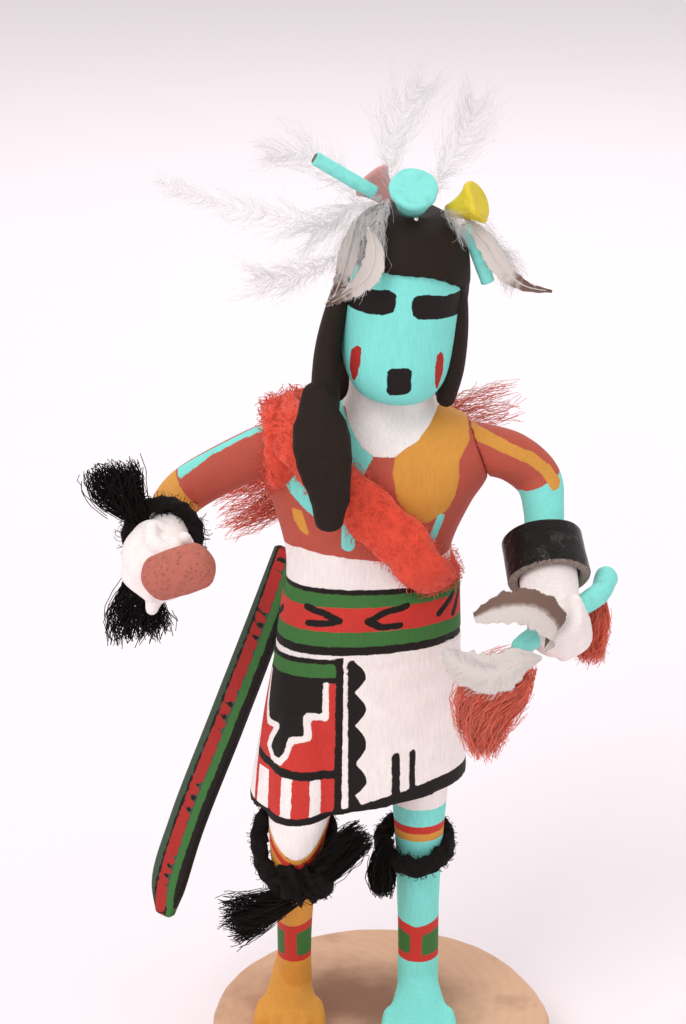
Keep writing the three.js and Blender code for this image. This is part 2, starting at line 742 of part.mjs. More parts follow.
const feathers = {
  feather_left_inner: {
    points: [at(-3.9, -13.4, 198), at(-2.7, -17.4, 194.4), at(-3.5, -19.4, 190.4), at(-7, -20, 186.8), at(-12.6, -19.4, 183.2)],
    wide: [0.5, 2, 2.7, 2.2, 0.5],
    side: [1, 0.3, 0],
  },
  feather_left_outer: {
    points: [at(-6.6, -9.6, 198.4), at(-8, -14, 193), at(-9.4, -16.4, 188.4), at(-11.8, -17.2, 182.6)],
    wide: [0.5, 2.2, 1.8, 0.4],
    side: [1, 0.4, 0],
  },
  feather_right: {
    points: [at(16.8, -4.6, 197.6), at(20.8, -7.4, 193.6), at(24.6, -9, 188), at(29.2, -9.8, 184.6), at(35, -10, 183.4)],
    wide: [0.6, 2.2, 2.2, 1.2, 0.3],
    side: [0.5, 0, 0.8],
  },
  hand_feather_upper: {
    points: [at(33.4, -38.6, 113.4), at(35.4, -39.6, 118.6), at(30.6, -40.4, 123.6), at(24, -39.6, 123.4), at(18.4, -37.6, 120.4)],
    wide: [0.6, 3.6, 4.2, 3.4, 1.4],
    side: [0.3, 0.2, 0.9],
  },
  hand_feather_lower: {
    points: [at(32.4, -40.6, 112.6), at(27.6, -43, 112.6), at(22, -42.6, 109.6), at(15.6, -40, 110.4), at(12, -38.4, 113.6)],
    wide: [0.6, 3.4, 4.6, 3.8, 0.8],
    side: [-0.2, 0.3, 1],
  },
};

// Down plumes on the head: root, way and length, half width and side of each.
const plumes = {
  plume_up_left: { points: [at(1.6, 1.4, 200.6), at(1.2, 3, 210), at(3.4, 3.4, 219), at(8, 2.6, 225.6)], wide: [1, 5.6, 7, 2.4], side: [1, 0, 0] },
  plume_up_right: { points: [at(9, 1.6, 200), at(13.4, 5.6, 207), at(17.6, 7.6, 214), at(19.4, 7.2, 221)], wide: [1, 5.4, 6, 2], side: [1, 0, 0.2] },
  plume_left_high: { points: [at(-4.4, 0.4, 198.4), at(-10, 2.2, 205), at(-18, 3, 210), at(-26, 2.6, 210)], wide: [1, 4.6, 4.8, 1.6], side: [0.4, 0, 1] },
  plume_left_long: { points: [at(-7.4, -1.6, 195.2), at(-20, -3.4, 197.4), at(-34, -4, 200.4), at(-49, -3.6, 206)], wide: [1, 4.4, 3.4, 1.2], side: [0, 0, 1] },
  plume_left_low: { points: [at(-8.6, -4, 190.4), at(-15.6, -7, 187.4), at(-22.4, -8.4, 185.6), at(-28, -8.6, 186)], wide: [1, 4.2, 4.4, 1.4], side: [0.3, 0, 1] },
  plume_right: { points: [at(18.8, -1, 191.8), at(22.6, -1.4, 190.6), at(25.6, -1.6, 187), at(27.4, -1.6, 183)], wide: [0.8, 3, 2.8, 1], side: [0.6, 0, 0.8] },
};

// Flowers and dowels on the head

const discWay = new THREE.Vector3(0.05, -0.63, 0.77).normalize();
const discFace = at(5.6, -10.4, 206);

function crownDisc(grow) {
  const start = discFace.clone().addScaledVector(discWay, -discRim - 4.6);
  const stops = [
    [0, discStem],
    [4.6, discRadius - 0.5],
    [4.9, discRadius - 0.1],
    [4.4 + discRim, discRadius],
    [4.6 + discRim, discRadius - 0.3],
  ];
  return turned(start, discWay, stops, grow, 14);
}

function coneFlower({ root, way }, grow) {
  const stops = [
    [0, flowerNeck],
    [flowerLength * 0.45, flowerNeck * 1.5],
    [flowerLength * 0.85, flowerRadius],
    [flowerLength, flowerRadius * 0.9],
  ];
  return turned(root, way, stops, grow);
}

function dowel({ root, way, length }, grow) {
  const stops = [[0, stickRadius * 0.9], [0.4, stickRadius], [length - 0.3, stickRadius], [length, stickRadius * 0.86]];
  return turned(root, way, stops, grow);
}

const yellowFlower = { root: at(13.2, -4.4, 199), way: new THREE.Vector3(0.82, -0.3, 0.42) };
const pinkFlower = { root: at(1.4, 3.4, 199), way: new THREE.Vector3(-0.58, 0.3, 0.62) };
const leftStick = { root: at(-2.4, -5.4, 203.4), way: new THREE.Vector3(-0.84, -0.12, 0.53), length: leftStickLength };
const rightStick = { root: at(16.9, -4.6, 196.6), way: new THREE.Vector3(0.36, -0.06, -0.93), length: rightStickLength };

function pin(grow) {
  const stops = [[0, pinRadius * 0.6], [0.9, pinRadius * 0.7], [1, pinRadius], [1.5, pinRadius * 0.7]];
  return turned(at(6.1, -11.1, 198.7), new THREE.Vector3(0, -0.7, 0.7), stops, grow, sidesOf.yarn);
}

// The hanging end of the sash, a carved board at the right hip.
function sashEnd(grow) {
  const points = [at(-21.4, 5.4, 117.6), at(-26.8, 6.2, 101), at(-36.2, 6.8, 75), at(-46, 6.4, 48.6), at(-50.8, 5.6, 32.4), at(-51.6, 5.4, 25.4)];
  const half = boardWidth / 2;
  const wide = [0.8, 0.94, 1, 1, 0.96, 0.5].map((share) => half * share + grow);
  return limb(points, wide, boardThickness / 2 + grow, {
    side: [0.8, -0.6, 0],
    sides: 8,
    steps: 6,
    round: 0.6,
    power: 5,
  });
}

// The base, a slice of a log that isn't quite round.
function base() {
  const rings = [
    [0, baseEdge * 0.5],
    [baseEdge * 0.5, 0],
    [baseThickness - baseEdge, 0],
    [baseThickness, baseEdge],
  ].map(([z, inset]) => {
    const points = [];
    for (let i = 0; i < sidesOf.base; i++) {
      const a = (i / sidesOf.base) * Math.PI * 2;
      const r = (baseRadius - inset) * (1 + 0.014 * Math.cos(2 * a + 3) + 0.008 * Math.cos(3 * a + 2) + 0.004 * Math.cos(7 * a));
      points.push(new THREE.Vector3(r * Math.cos(a), r * Math.sin(a), z));
    }
    return points;
  });
  return skin(rings);
}

// Colours: [colour, roughness, metalness]
const paints = {
  wood: [0xc79a72, 0.8, 0],
  paint: [0xa8483f, 0.75, 0],
  turquoise: [0x4fd0bd, 0.7, 0],
  yellow: [0xe0c024, 0.7, 0],
  pink: [0xd89a98, 0.75, 0],
  clay: [0xc26a58, 0.85, 0],
  sash: [0xb32a22, 0.7, 0],
  leather: [0x14100f, 0.35, 0],
  red_yarn: [0xd23420, 0.95, 0],
  black_yarn: [0x17120f, 0.95, 0],
  down: [0xeee6e4, 0.9, 0],
  barred: [0x8c7f78, 0.8, 0],
  steel: [0xd8d4cc, 0.3, 1],
};

const group = new THREE.Group();

function show(name, solid, paint) {
  const { numProp, vertProperties, triVerts } = whole(solid).getMesh();
  const count = vertProperties.length / numProp;
  const points = new Float32Array(count * 3);
  for (let i = 0; i < count; i++) points.set(vertProperties.subarray(i * numProp, i * numProp + 3), i * 3);
  let geometry = new THREE.BufferGeometry().setAttribute("position", new THREE.BufferAttribute(points, 3));
  geometry.setIndex(new THREE.BufferAttribute(triVerts, 1));
  // Corners closer than the grain become one, and the faces that vanish with them go.
  geometry = mergeVertices(geometry, grain);
  const faces = [];
  for (let i = 0; i < geometry.index.count; i += 3) {
    const [a, b, c] = [0, 1, 2].map((k) => geometry.index.getX(i + k));
    if (a !== b && b !== c && c !== a) faces.push(a, b, c);
  }
  geometry.setIndex(faces);
  geometry.computeVertexNormals();
  const [color, roughness, metalness] = paints[paint];
  const mesh = new THREE.Mesh(geometry, new THREE.MeshStandardMaterial({ color, roughness, metalness }));
  mesh.name = name;
  group.add(mesh);
}

// Every piece, by name, with its colour and how it is made a little bigger by a distance.
// A piece makes room for the ones before it.
const pieces = [
  ["figure", "paint", figure],
  ["rattle", "clay", rattle],
  ["bow", "turquoise", bow],
  ["arm_left", "paint", (grow) => arm(leftArm, armJoints.left, hands.left, grow)],
  ["arm_right", "paint", (grow) => arm(rightArm, armJoints.right, hands.right, grow)],
  ["cuff", "leather", cuff],
  ["sash_end", "sash", sashEnd],
  ["bandolier", "red_yarn", redBandolier],
  ["wrist_tie", "black_yarn", wristTie],
  ["knee_tie_standing", "black_yarn", (grow) => kneeTie(standingTie, grow)],
  ["knee_tie_stepping", "black_yarn", (grow) => kneeTie(steppingTie, grow)],
  ["crown_disc", "turquoise", crownDisc],
  ["flower_yellow", "yellow", (grow) => coneFlower(yellowFlower, grow)],
  ["flower_pink", "pink", (grow) => coneFlower(pinkFlower, grow)],
  ["stick_left", "turquoise", (grow) => dowel(leftStick, grow)],
  ["stick_right", "turquoise", (grow) => dowel(rightStick, grow)],
  ["pin", "steel", pin],
];
for (const [name, shape] of Object.entries(tassels)) {
  pieces.push([name, "red_yarn", (grow) => tuft(grow, ...shape)]);
}
for (const [name, shape] of Object.entries(feathers)) {
  pieces.push([name, "barred", (grow) => feather(shape, featherThickness, grow)]);
}
for (const [name, shape] of Object.entries(plumes)) {
  pieces.push([name, "down", (grow) => feather(shape, plumeThickness, grow)]);
}

show("base", base(), "wood");
const rooms = [];
for (const [name, paint, make] of pieces) {
  const solid = rooms.reduce((left, room) => left.subtract(room), make(0));
  show(name, solid, paint);
  rooms.push(make(gap));
}

export default group;
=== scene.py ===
"""Carved dancer doll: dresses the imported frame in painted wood, wool, leather, feathers and down.

Shapes are in millimetres above the top of the log slice, and become metres when a mesh is made.
"""

import functools
import math

import bmesh
import bpy
import numpy as np
from bpy.props import FloatProperty, FloatVectorProperty, IntProperty, PointerProperty
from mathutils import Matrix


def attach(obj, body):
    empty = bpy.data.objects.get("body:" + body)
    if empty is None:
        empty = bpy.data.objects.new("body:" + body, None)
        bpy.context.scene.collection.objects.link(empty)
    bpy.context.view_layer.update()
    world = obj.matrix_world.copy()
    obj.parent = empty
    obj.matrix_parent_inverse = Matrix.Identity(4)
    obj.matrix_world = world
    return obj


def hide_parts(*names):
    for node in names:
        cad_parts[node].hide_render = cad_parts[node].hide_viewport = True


bl_info = {
    "name": "Carved Dancer Doll",
    "version": (1, 0, 0),
    "blender": (4, 5, 0),
    "location": "3D View > Sidebar > Doll",
    "description": "Dresses a carved dancer doll in paint, wool, leather and feathers",
    "category": "Add Mesh",
}

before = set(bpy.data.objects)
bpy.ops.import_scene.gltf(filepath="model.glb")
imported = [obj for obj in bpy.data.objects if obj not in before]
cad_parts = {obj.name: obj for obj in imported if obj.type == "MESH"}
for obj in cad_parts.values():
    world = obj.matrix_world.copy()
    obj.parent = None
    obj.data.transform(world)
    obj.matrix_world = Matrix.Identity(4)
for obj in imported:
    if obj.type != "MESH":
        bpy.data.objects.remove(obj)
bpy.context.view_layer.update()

SLICE_TOP = 12.0  # height of the log slice
SLICE_RADIUS = 41.0
HEAD_LEAN = 0.09  # the head leans to its left
HEAD_MIDDLE = 3.6  # where the head's middle lies sideways at its height
HEAD_HEIGHT = 180
SASH_LENGTH = 96
WAIST_SLOPE = 0.07  # the kilt and belt dip to the right
KILT_POWER = 2.25  # a little squarer than an ellipse


# Settings


def linear(red, green, blue):
    """A colour of 0 to 255 a channel, as the linear values that Blender works in."""
    parts = [c / 255 for c in (red, green, blue)]
    return tuple(round(c / 12.92 if c < 0.04 else ((c + 0.055) / 1.055) ** 2.4, 4) for c in parts)


def paint_setting(name, about, *rgb):
    return FloatVectorProperty(
        name=name, description=about, default=linear(*rgb), size=3, min=0.0, max=1.0, subtype="COLOR"
    )


def size_setting(name, about, metres):
    return FloatProperty(name=name, description=about, default=metres, min=0.0, precision=5, unit="LENGTH")


class DollSizes(bpy.types.PropertyGroup):
    """Sizes of the carving's detail, the wool and the down."""

    body_grain: size_setting("Body detail", "Smallest step of the carved body", 0.0007)
    limb_grain: size_setting("Head and arm detail", "Smallest step of the head and arms", 0.00054)
    fuzz_length: size_setting("Fuzz length", "Length of the wool's short fibres", 0.0016)
    fibre: size_setting("Fibre", "Radius of a wool fibre", 0.00007)
    yarn_strand: size_setting("Loose strand", "Radius of a loose strand of wool", 0.0001)
    down_barb: size_setting("Down barb", "Radius of a barb of down", 0.000028)
    fuzz_count: FloatProperty(
        name="Fuzz count", description="Fibres on a square millimetre of wool", default=1.4, min=0.0, max=8.0
    )
    seed: IntProperty(name="Seed", description="Start of everything scattered", default=7, min=0)


class DollColours(bpy.types.PropertyGroup):
    """Colours of the paints, the wool and the rest."""

    terracotta: paint_setting("Terracotta", "Body paint", 190, 86, 70)
    white: paint_setting("White", "Kilt, neck and hand paint", 250, 240, 237)
    turquoise: paint_setting("Turquoise", "Mask, leg and dowel paint", 134, 229, 219)
    ochre: paint_setting("Ochre", "Shoulder and foot paint", 222, 154, 66)
    red: paint_setting("Red", "Belt and panel paint", 206, 56, 48)
    green: paint_setting("Green", "Band paint", 62, 116, 56)
    black: paint_setting("Black", "Line paint", 24, 16, 13)
    bare_wood: paint_setting("Bare wood", "The log slice", 216, 170, 138)
    clay: paint_setting("Clay", "Rattle", 186, 104, 88)
    yellow: paint_setting("Yellow", "Yellow flower", 228, 204, 50)
    pink: paint_setting("Pink", "Pink flower", 212, 150, 148)
    red_wool: paint_setting("Red wool", "Bandolier", 248, 86, 60)
    # A lighter copy of the red wool: painted light on the loose strands, which shade each other.
    loose_wool: paint_setting("Loose wool", "Tassels and loose ends of the bandolier", 255, 108, 72)
    black_wool: paint_setting("Black wool", "Wrist and knee ties", 22, 15, 13)
    leather: paint_setting("Leather", "Cuff", 24, 19, 18)
    down: paint_setting("Down", "Plumes", 250, 246, 246)
    feather: paint_setting("Feather", "Pale part of a feather", 214, 204, 198)
    grey_green: paint_setting("Grey green", "Edge band of the sash", 66, 84, 66)
    hair: paint_setting("Hair", "Hair paint", 39, 28, 22)
    # Also serves as the sash's red, where it is painted shade.
    cheek: paint_setting("Cheek red", "Marks on the cheeks", 176, 44, 38)
    feather_tip: paint_setting("Feather tip", "Brown part of a feather", 118, 92, 80)


# Smooth lines and skins


def unit(vectors):
    vectors = np.asarray(vectors, float)
    return vectors / np.maximum(np.linalg.norm(vectors, axis=-1, keepdims=True), 1e-9)


def circle(count):
    """Angles once round, evenly apart."""
    return np.linspace(0, 2 * math.pi, count, endpoint=False)


def through(rows, knots, where):
    """Rows on a smooth curve that passes through the given rows at their knots."""
    slopes = np.gradient(rows, knots, axis=0)
    i = np.clip(np.searchsorted(knots, where, side="right") - 1, 0, len(knots) - 2)
    width = (knots[i + 1] - knots[i])[:, None]
    t = (where - knots[i])[:, None] / width
    start, end = rows[i], rows[i + 1]
    leaving, arriving = slopes[i] * width, slopes[i + 1] * width
    return (
        (2 * t**3 - 3 * t**2 + 1) * start
        + (t**3 - 2 * t**2 + t) * leaving
        + (3 * t**2 - 2 * t**3) * end
        + (t**3 - t**2) * arriving
    )


def spread(table, count, keys=3, closed=False):
    """A table of rows as count rows of a smooth curve. Its first columns, the keys, set the spacing."""
    rows = np.asarray(table, float)
    if closed:
        rows = np.vstack([rows[-2:], rows, rows[:3]])
    gaps = np.linalg.norm(np.diff(rows[:, :keys], axis=0), axis=1) ** 0.5
    knots = np.concatenate([[0.0], np.cumsum(gaps)])
    if closed:
        return through(rows, knots, np.linspace(knots[2], knots[-3], count, endpoint=False))
    return through(rows, knots, np.linspace(0, knots[-1], count))


def columns(points, *others):
    """Points with further values beside them, where a single value serves every point."""
    points = np.asarray(points, float)
    return np.column_stack([points] + [np.broadcast_to(np.asarray(v, float), len(points)) for v in others])


def oval(count, power=2.0):
    """A unit ring, squarer for a power above 2."""
    angle = circle(count)
    cos, sin = np.cos(angle), np.sin(angle)
    return np.sign(cos) * np.abs(cos) ** (2 / power), np.sign(sin) * np.abs(sin) ** (2 / power)


def skin(rings, closed=False):
    """Corners and faces of a skin over rings of points, shut at both ends unless it is closed on itself."""
    rings = np.asarray(rings, float)
    count, around = rings.shape[:2]
    corners = rings.reshape(-1, 3)
    index = np.arange(count * around).reshape(count, around)
    lower = index if closed else index[:-1]
    upper = np.roll(index, -1, axis=0) if closed else index[1:]
    faces = np.stack([lower, np.roll(lower, -1, 1), np.roll(upper, -1, 1), upper], -1).reshape(-1, 4).tolist()
    if not closed:
        corners = np.vstack([corners, rings[0].mean(0), rings[-1].mean(0)])
        first, last = count * around, count * around + 1
        for i in range(around):
            j = (i + 1) % around
            faces.append([first, j, i])
            faces.append([last, (count - 1) * around + i, (count - 1) * around + j])
    return corners, faces


def crossways(middle, side):
    """Two directions square to a line at each of its points: one near the given side, and one across it."""
    ahead = unit(np.gradient(middle, axis=0))
    side = np.broadcast_to(np.asarray(side, float), middle.shape)
    flat = unit(side - ahead * np.sum(side * ahead, axis=1, keepdims=True))
    return flat, np.cross(ahead, flat), ahead


def tube(rows, side, power=2.0, around=40, dome=(1.0, 1.0), lumps=0.0, seed=1):
    """Rings along rows of a middle, a half width and a half thickness, domed at both ends."""
    middle, wide, thick = rows[:, :3], rows[:, 3], rows[:, 4]
    flat, across, ahead = crossways(middle, side)
    cos, sin = oval(around, power)
    swell = np.ones((len(rows), around))
    if lumps:
        rng = np.random.default_rng(seed)
        angle = circle(around)
        run = np.concatenate([[0], np.cumsum(np.linalg.norm(np.diff(middle, axis=0), axis=1))])
        for turns in (1, 2, 3, 4, 5):
            for pace in (0.35, 0.8, 1.5):
                phase = rng.uniform(0, 2 * math.pi, 2)
                swell += lumps * 0.3 * np.sin(turns * angle + phase[0]) * np.sin(pace * run + phase[1])[:, None]
    ring = (
        flat[:, None, :] * (wide[:, None] * cos * swell)[..., None]
        + across[:, None, :] * (thick[:, None] * sin * swell)[..., None]
    )
    rings = list(middle[:, None, :] + ring)
    for end, share, sign in ((0, dome[0], -1), (-1, dome[1], 1)):
        reach = share * min(wide[end], thick[end])
        for step in range(1, 6):
            if reach <= 0:
                break
            angle = step / 6 * math.pi / 2
            capped = middle[end] + sign * ahead[end] * reach * math.sin(angle) + ring[end] * math.cos(angle)
            if end == 0:
                rings.insert(0, capped)
            else:
                rings.append(capped)
    return rings


def limb(points, wide, thick, side=(1, 0, 0), power=2.0, steps=60, around=40, dome=(1.0, 1.0), lumps=0.0, seed=1):
    """A skin along a smooth line, wide along one side and thick across it."""
    rows = spread(columns(points, wide, thick), steps)
    return skin(tube(rows, side, power, around, dome, lumps, seed))


def loop(points, middle, wide, thick, steps=160, around=36, lumps=0.0, seed=1):
    """A closed band round a middle: thick away from it and wide across that."""
    rows = spread(columns(points, wide, thick), steps, closed=True)
    line = rows[:, :3]
    ahead = unit(np.roll(line, -1, axis=0) - np.roll(line, 1, axis=0))
    outward = line - np.asarray(middle, float)
    outward = unit(outward - ahead * np.sum(outward * ahead, axis=1, keepdims=True))
    across = np.cross(ahead, outward)
    cos, sin = oval(around, 2.3)
    rng = np.random.default_rng(seed)
    angle = circle(around)
    place = circle(steps)
    swell = np.ones((steps, around))
    for turns in (1, 2, 3, 4):
        for waves in (5, 11, 19):
            phase = rng.uniform(0, 2 * math.pi, 2)
            swell += lumps * 0.3 * np.sin(turns * angle + phase[0]) * np.sin(waves * place + phase[1])[:, None]
    rings = (
        line[:, None, :]
        + outward[:, None, :] * (rows[:, 4][:, None] * cos * swell)[..., None]
        + across[:, None, :] * (rows[:, 3][:, None] * sin * swell)[..., None]
    )
    return skin(rings, closed=True)


def stack(sections, steps, power, slope=0.0, around=160, smooth=True):
    """Rings through sections of height, middle x and y, half width, half depth and turn."""
    rows = spread(sections, steps, keys=5) if smooth else np.asarray(sections, float)
    cos, sin = oval(around, power)
    rings = []
    for z, x, y, wide, deep, turn in rows[:, :6]:
        angle = math.radians(turn)
        dx = wide * cos * math.cos(angle) - deep * sin * math.sin(angle)
        dy = wide * cos * math.sin(angle) + deep * sin * math.cos(angle)
        rings.append(np.column_stack([x + dx, y + dy, z + slope * dx]))
    return np.array(rings)


def turned(start, way, stops, around=48, rough=0.0, seed=1):
    """A skin turned about a way: stops of distance along it and radius there, rough where it was cut by hand."""
    way = unit(way)
    side = unit(np.cross(way, (0, 0, 1) if abs(way[2]) < 0.9 else (0, 1, 0)))
    up = np.cross(way, side)
    cos, sin = oval(around)
    rng = np.random.default_rng(seed)
    phase = rng.uniform(0, 2 * math.pi, (5, 2))
    angle = circle(around)
    rings = []
    for distance, radius in stops:
        bumps = sum(
            np.sin((k + 2) * angle + phase[k, 0]) * math.sin(distance * (0.5 + 0.4 * k) + phase[k, 1])
            for k in range(5)
        )
        grown = radius * (1 + rough * bumps)[:, None]
        rings.append(np.asarray(start, float) + way * distance + grown * (cos[:, None] * side + sin[:, None] * up))
    return skin(rings)


def together(shapes):
    """Several skins as one."""
    corners, faces, passed = [], [], 0
    for some, sides in shapes:
        corners.append(np.asarray(some, float))
        faces += [[i + passed for i in face] for face in sides]
        passed += len(some)
    return np.vstack(corners), faces


# Meshes


def metres(corners):
    return (np.asarray(corners, float) + (0.0, 0.0, SLICE_TOP)) / 1000


def millimetres(mesh):
    """A mesh's corners in millimetres above the log slice."""
    flat = np.empty(len(mesh.vertices) * 3)
    mesh.vertices.foreach_get("co", flat)
    return flat.reshape(-1, 3) * 1000 - (0.0, 0.0, SLICE_TOP)


def outward(mesh):
    """Turns every face of a closed mesh outwards."""
    work = bmesh.new()
    work.from_mesh(mesh)
    bmesh.ops.recalc_face_normals(work, faces=work.faces)
    work.to_mesh(mesh)
    work.free()


def made(name, shape, finish, edges=()):
    """An object from corners and faces, smooth and facing outwards."""
    corners, faces = shape
    mesh = bpy.data.meshes.new(name)
    mesh.from_pydata(metres(corners).tolist(), list(edges), faces)
    mesh.update()
    if faces:
        outward(mesh)
        mesh.shade_smooth()
    mesh.materials.append(finish)
    piece = bpy.data.objects.new(name, mesh)
    bpy.context.scene.collection.objects.link(piece)
    return piece


def settled(piece, name):
    """The mesh that an object's modifiers give becomes its own, and the modifiers go."""
    graph = bpy.context.evaluated_depsgraph_get()
    mesh = bpy.data.meshes.new_from_object(piece.evaluated_get(graph), depsgraph=graph)
    old = piece.data
    piece.modifiers.clear()
    piece.data = mesh
    bpy.data.meshes.remove(old)
    mesh.name = name
    if not mesh.polygons:
        raise RuntimeError(name + " came out empty")
    mesh.shade_smooth()
    return piece


def carved(name, shapes, finish, grain, soften=2):
    """One skin round shapes that overlap, as if they were carved from one block."""
    piece = made(name, together(shapes), finish)
    remesh = piece.modifiers.new("One skin", "REMESH")
    remesh.mode = "VOXEL"
    remesh.voxel_size = grain
    smooth = piece.modifiers.new("Rubbed down", "SMOOTH")
    smooth.factor = 0.5
    smooth.iterations = soften
    return settled(piece, name)


def layer(mesh, name, values):
    """Writes a value for each corner under a name, which finishes and trees read."""
    mesh.attributes.new(name, "FLOAT", "POINT").data.foreach_set("value", values)


def stands_for(piece, slot, *nodes):
    """Rides the piece on the body and lets it stand for CAD nodes."""
    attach(piece, "root")
    if nodes:
        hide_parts(*nodes)
    return piece


# Painted marks: functions that give the distance inside a mark's edge, in millimetres

PAINTS = ("white", "turquoise", "ochre", "red", "green", "black")
FAR_INSIDE = 9.0  # a depth that no mark's edge comes near


def band(value, low, high):
    return np.minimum(value - low, high - value)


def stroke(u, v, points, width):
    """A brush stroke along points."""
    nearest = np.full(len(u), 1e3)
    here = np.column_stack([u, v])
    for a, b in zip(points[:-1], points[1:]):
        a, b = np.asarray(a, float), np.asarray(b, float)
        along = np.clip(((here - a) @ (b - a)) / max(float((b - a) @ (b - a)), 1e-9), 0, 1)
        nearest = np.minimum(nearest, np.linalg.norm(here - (a + along[:, None] * (b - a)), axis=1))
    return width / 2 - nearest


def patch(u, v, outline):
    """A patch inside an outline."""
    points = list(outline) + [outline[0]]
    inside = np.zeros(len(u), bool)
    for (ax, ay), (bx, by) in zip(points[:-1], points[1:]):
        crosses = (ay > v) != (by > v)
        inside ^= crosses & (u < (bx - ax) * (v - ay) / ((by - ay) or 1e-9) + ax)
    edge = -stroke(u, v, points, 0.0)
    return np.where(inside, edge, -edge)


class Coats:
    """The paints on a piece: how far each corner lies inside each paint, later paint over earlier."""

    def __init__(self, mesh, ground):
        self.mesh = mesh
        self.at = millimetres(mesh)
        self.depth = {paint: np.full(len(self.at), -FAR_INSIDE) for paint in PAINTS}
        if ground in self.depth:
            self.depth[ground][:] = FAR_INSIDE

    def brush(self, paint, inside):
        for other in self.depth:
            if other != paint:
                self.depth[other] = np.minimum(self.depth[other], -inside)
        if paint in self.depth:
            self.depth[paint] = np.maximum(self.depth[paint], inside)

    def dry(self):
        """Writes the paints to the mesh, one attribute each."""
        for paint, depth in self.depth.items():
            layer(self.mesh, paint, np.clip(depth, -FAR_INSIDE, FAR_INSIDE))


# Node trees


class Socket:
    """An output of a node that takes part in Python sums: each sum adds its Math node."""

    def __init__(self, nodes, link):
        self.nodes = nodes
        self.link = link

    def math(self, operation, *values):
        return self.nodes.node("ShaderNodeMath", {"operation": operation}, dict(enumerate(values)))

    def __add__(self, other):
        return self.math("ADD", self, other)

    def __sub__(self, other):
        return self.math("SUBTRACT", self, other)

    def __rsub__(self, other):
        return self.math("SUBTRACT", other, self)

    def __mul__(self, other):
        return self.math("MULTIPLY", self, other)

    def __truediv__(self, other):
        return self.math("DIVIDE", self, other)

    def __rtruediv__(self, other):
        return self.math("DIVIDE", other, self)

    def __pow__(self, other):
        return self.math("POWER", self, other)

    def __gt__(self, other):
        return self.math("GREATER_THAN", self, other)

    __radd__ = __add__
    __rmul__ = __mul__

    def most(self, other):
        return self.math("MAXIMUM", self, other)

    def size(self):
        return self.math("ABSOLUTE", self)

    def sine(self):
        return self.math("SINE", self)

    def step(self, low, high, start=0.0, end=1.0):
        """Rises smoothly from start at low to end at high."""
        settings = {"interpolation_type": "SMOOTHSTEP"}
        return self.nodes.node("ShaderNodeMapRange", settings, {0: self, 1: low, 2: high, 3: start, 4: end})

    def output(self, key):
        return Socket(self.nodes, self.link.node.outputs[key])


class Nodes:
    """A node tree under construction."""

    def __init__(self, tree):
        self.tree = tree

    def node(self, kind, settings=None, inputs=None, output=0):
        new = self.tree.nodes.new(kind)
        for key, value in (settings or {}).items():
            setattr(new, key, value)
        for key, value in (inputs or {}).items():
            self.plug(new.inputs[key], value)
        return Socket(self, new.outputs[output])

    def plug(self, socket, value):
        if isinstance(value, Socket):
            self.tree.links.new(value.link, socket)
        else:
            socket.default_value = value

    def vector(self, operation, first, second=None, **more):
        inputs = {0: first, **more}
        if second is not None:
            inputs[1] = second
        return self.node("ShaderNodeVectorMath", {"operation": operation}, inputs)


class Finish(Nodes):
    """A material under construction. Lengths in its patterns are millimetres."""

    def __init__(self, name, **uniform):
        self.material = bpy.data.materials.new(name)
        self.material.use_nodes = True
        super().__init__(self.material.node_tree)
        self.shader = self.tree.nodes["Principled BSDF"]
        self.colours = bpy.context.scene.doll_colours
        for key, value in uniform.items():
            self.shader.inputs[key.replace("_", " ")].default_value = value
        coords = self.node("ShaderNodeTexCoord").output("Object")
        self.place = self.vector("SCALE", coords, Scale=1000.0)

    def stretched(self, x, y, z):
        return self.vector("MULTIPLY", self.place, (x, y, z))

    def noise(self, size, detail=3.0, rough=0.5, place=None):
        """Noise from 0 to 1 with blotches of about the given size."""
        inputs = {"Vector": place or self.place, "Scale": 1 / size, "Detail": detail, "Roughness": rough}
        return self.node("ShaderNodeTexNoise", {}, inputs)

    def spots(self, size, feature="F1"):
        """Distance to scattered points, about a size apart, as a share of that size."""
        return self.node("ShaderNodeTexVoronoi", {"feature": feature}, {"Vector": self.place, "Scale": 1 / size})

    def attribute(self, name):
        return self.node("ShaderNodeAttribute", {"attribute_name": name}).output("Fac")

    def mix(self, share, first, second):
        colours = {0: share, 6: opaque(first), 7: opaque(second)}
        return self.node("ShaderNodeMix", {"data_type": "RGBA"}, colours, output=2)

    def shade(self, colour, brightness):
        """A colour made lighter or darker by a value about 1."""
        return self.vector("SCALE", colour if isinstance(colour, Socket) else tuple(colour)[:3], Scale=brightness)

    def relief(self, height, distance, strength=1.0):
        """Bumps of a height from 0 to 1 over a distance in millimetres."""
        inputs = {"Height": height, "Distance": distance / 1000, "Strength": strength}
        self["Normal"] = self.node("ShaderNodeBump", {}, inputs)

    def __setitem__(self, key, value):
        self.plug(self.shader.inputs[key], value)


def opaque(colour):
    return colour if isinstance(colour, Socket) else (*tuple(colour)[:3], 1.0)


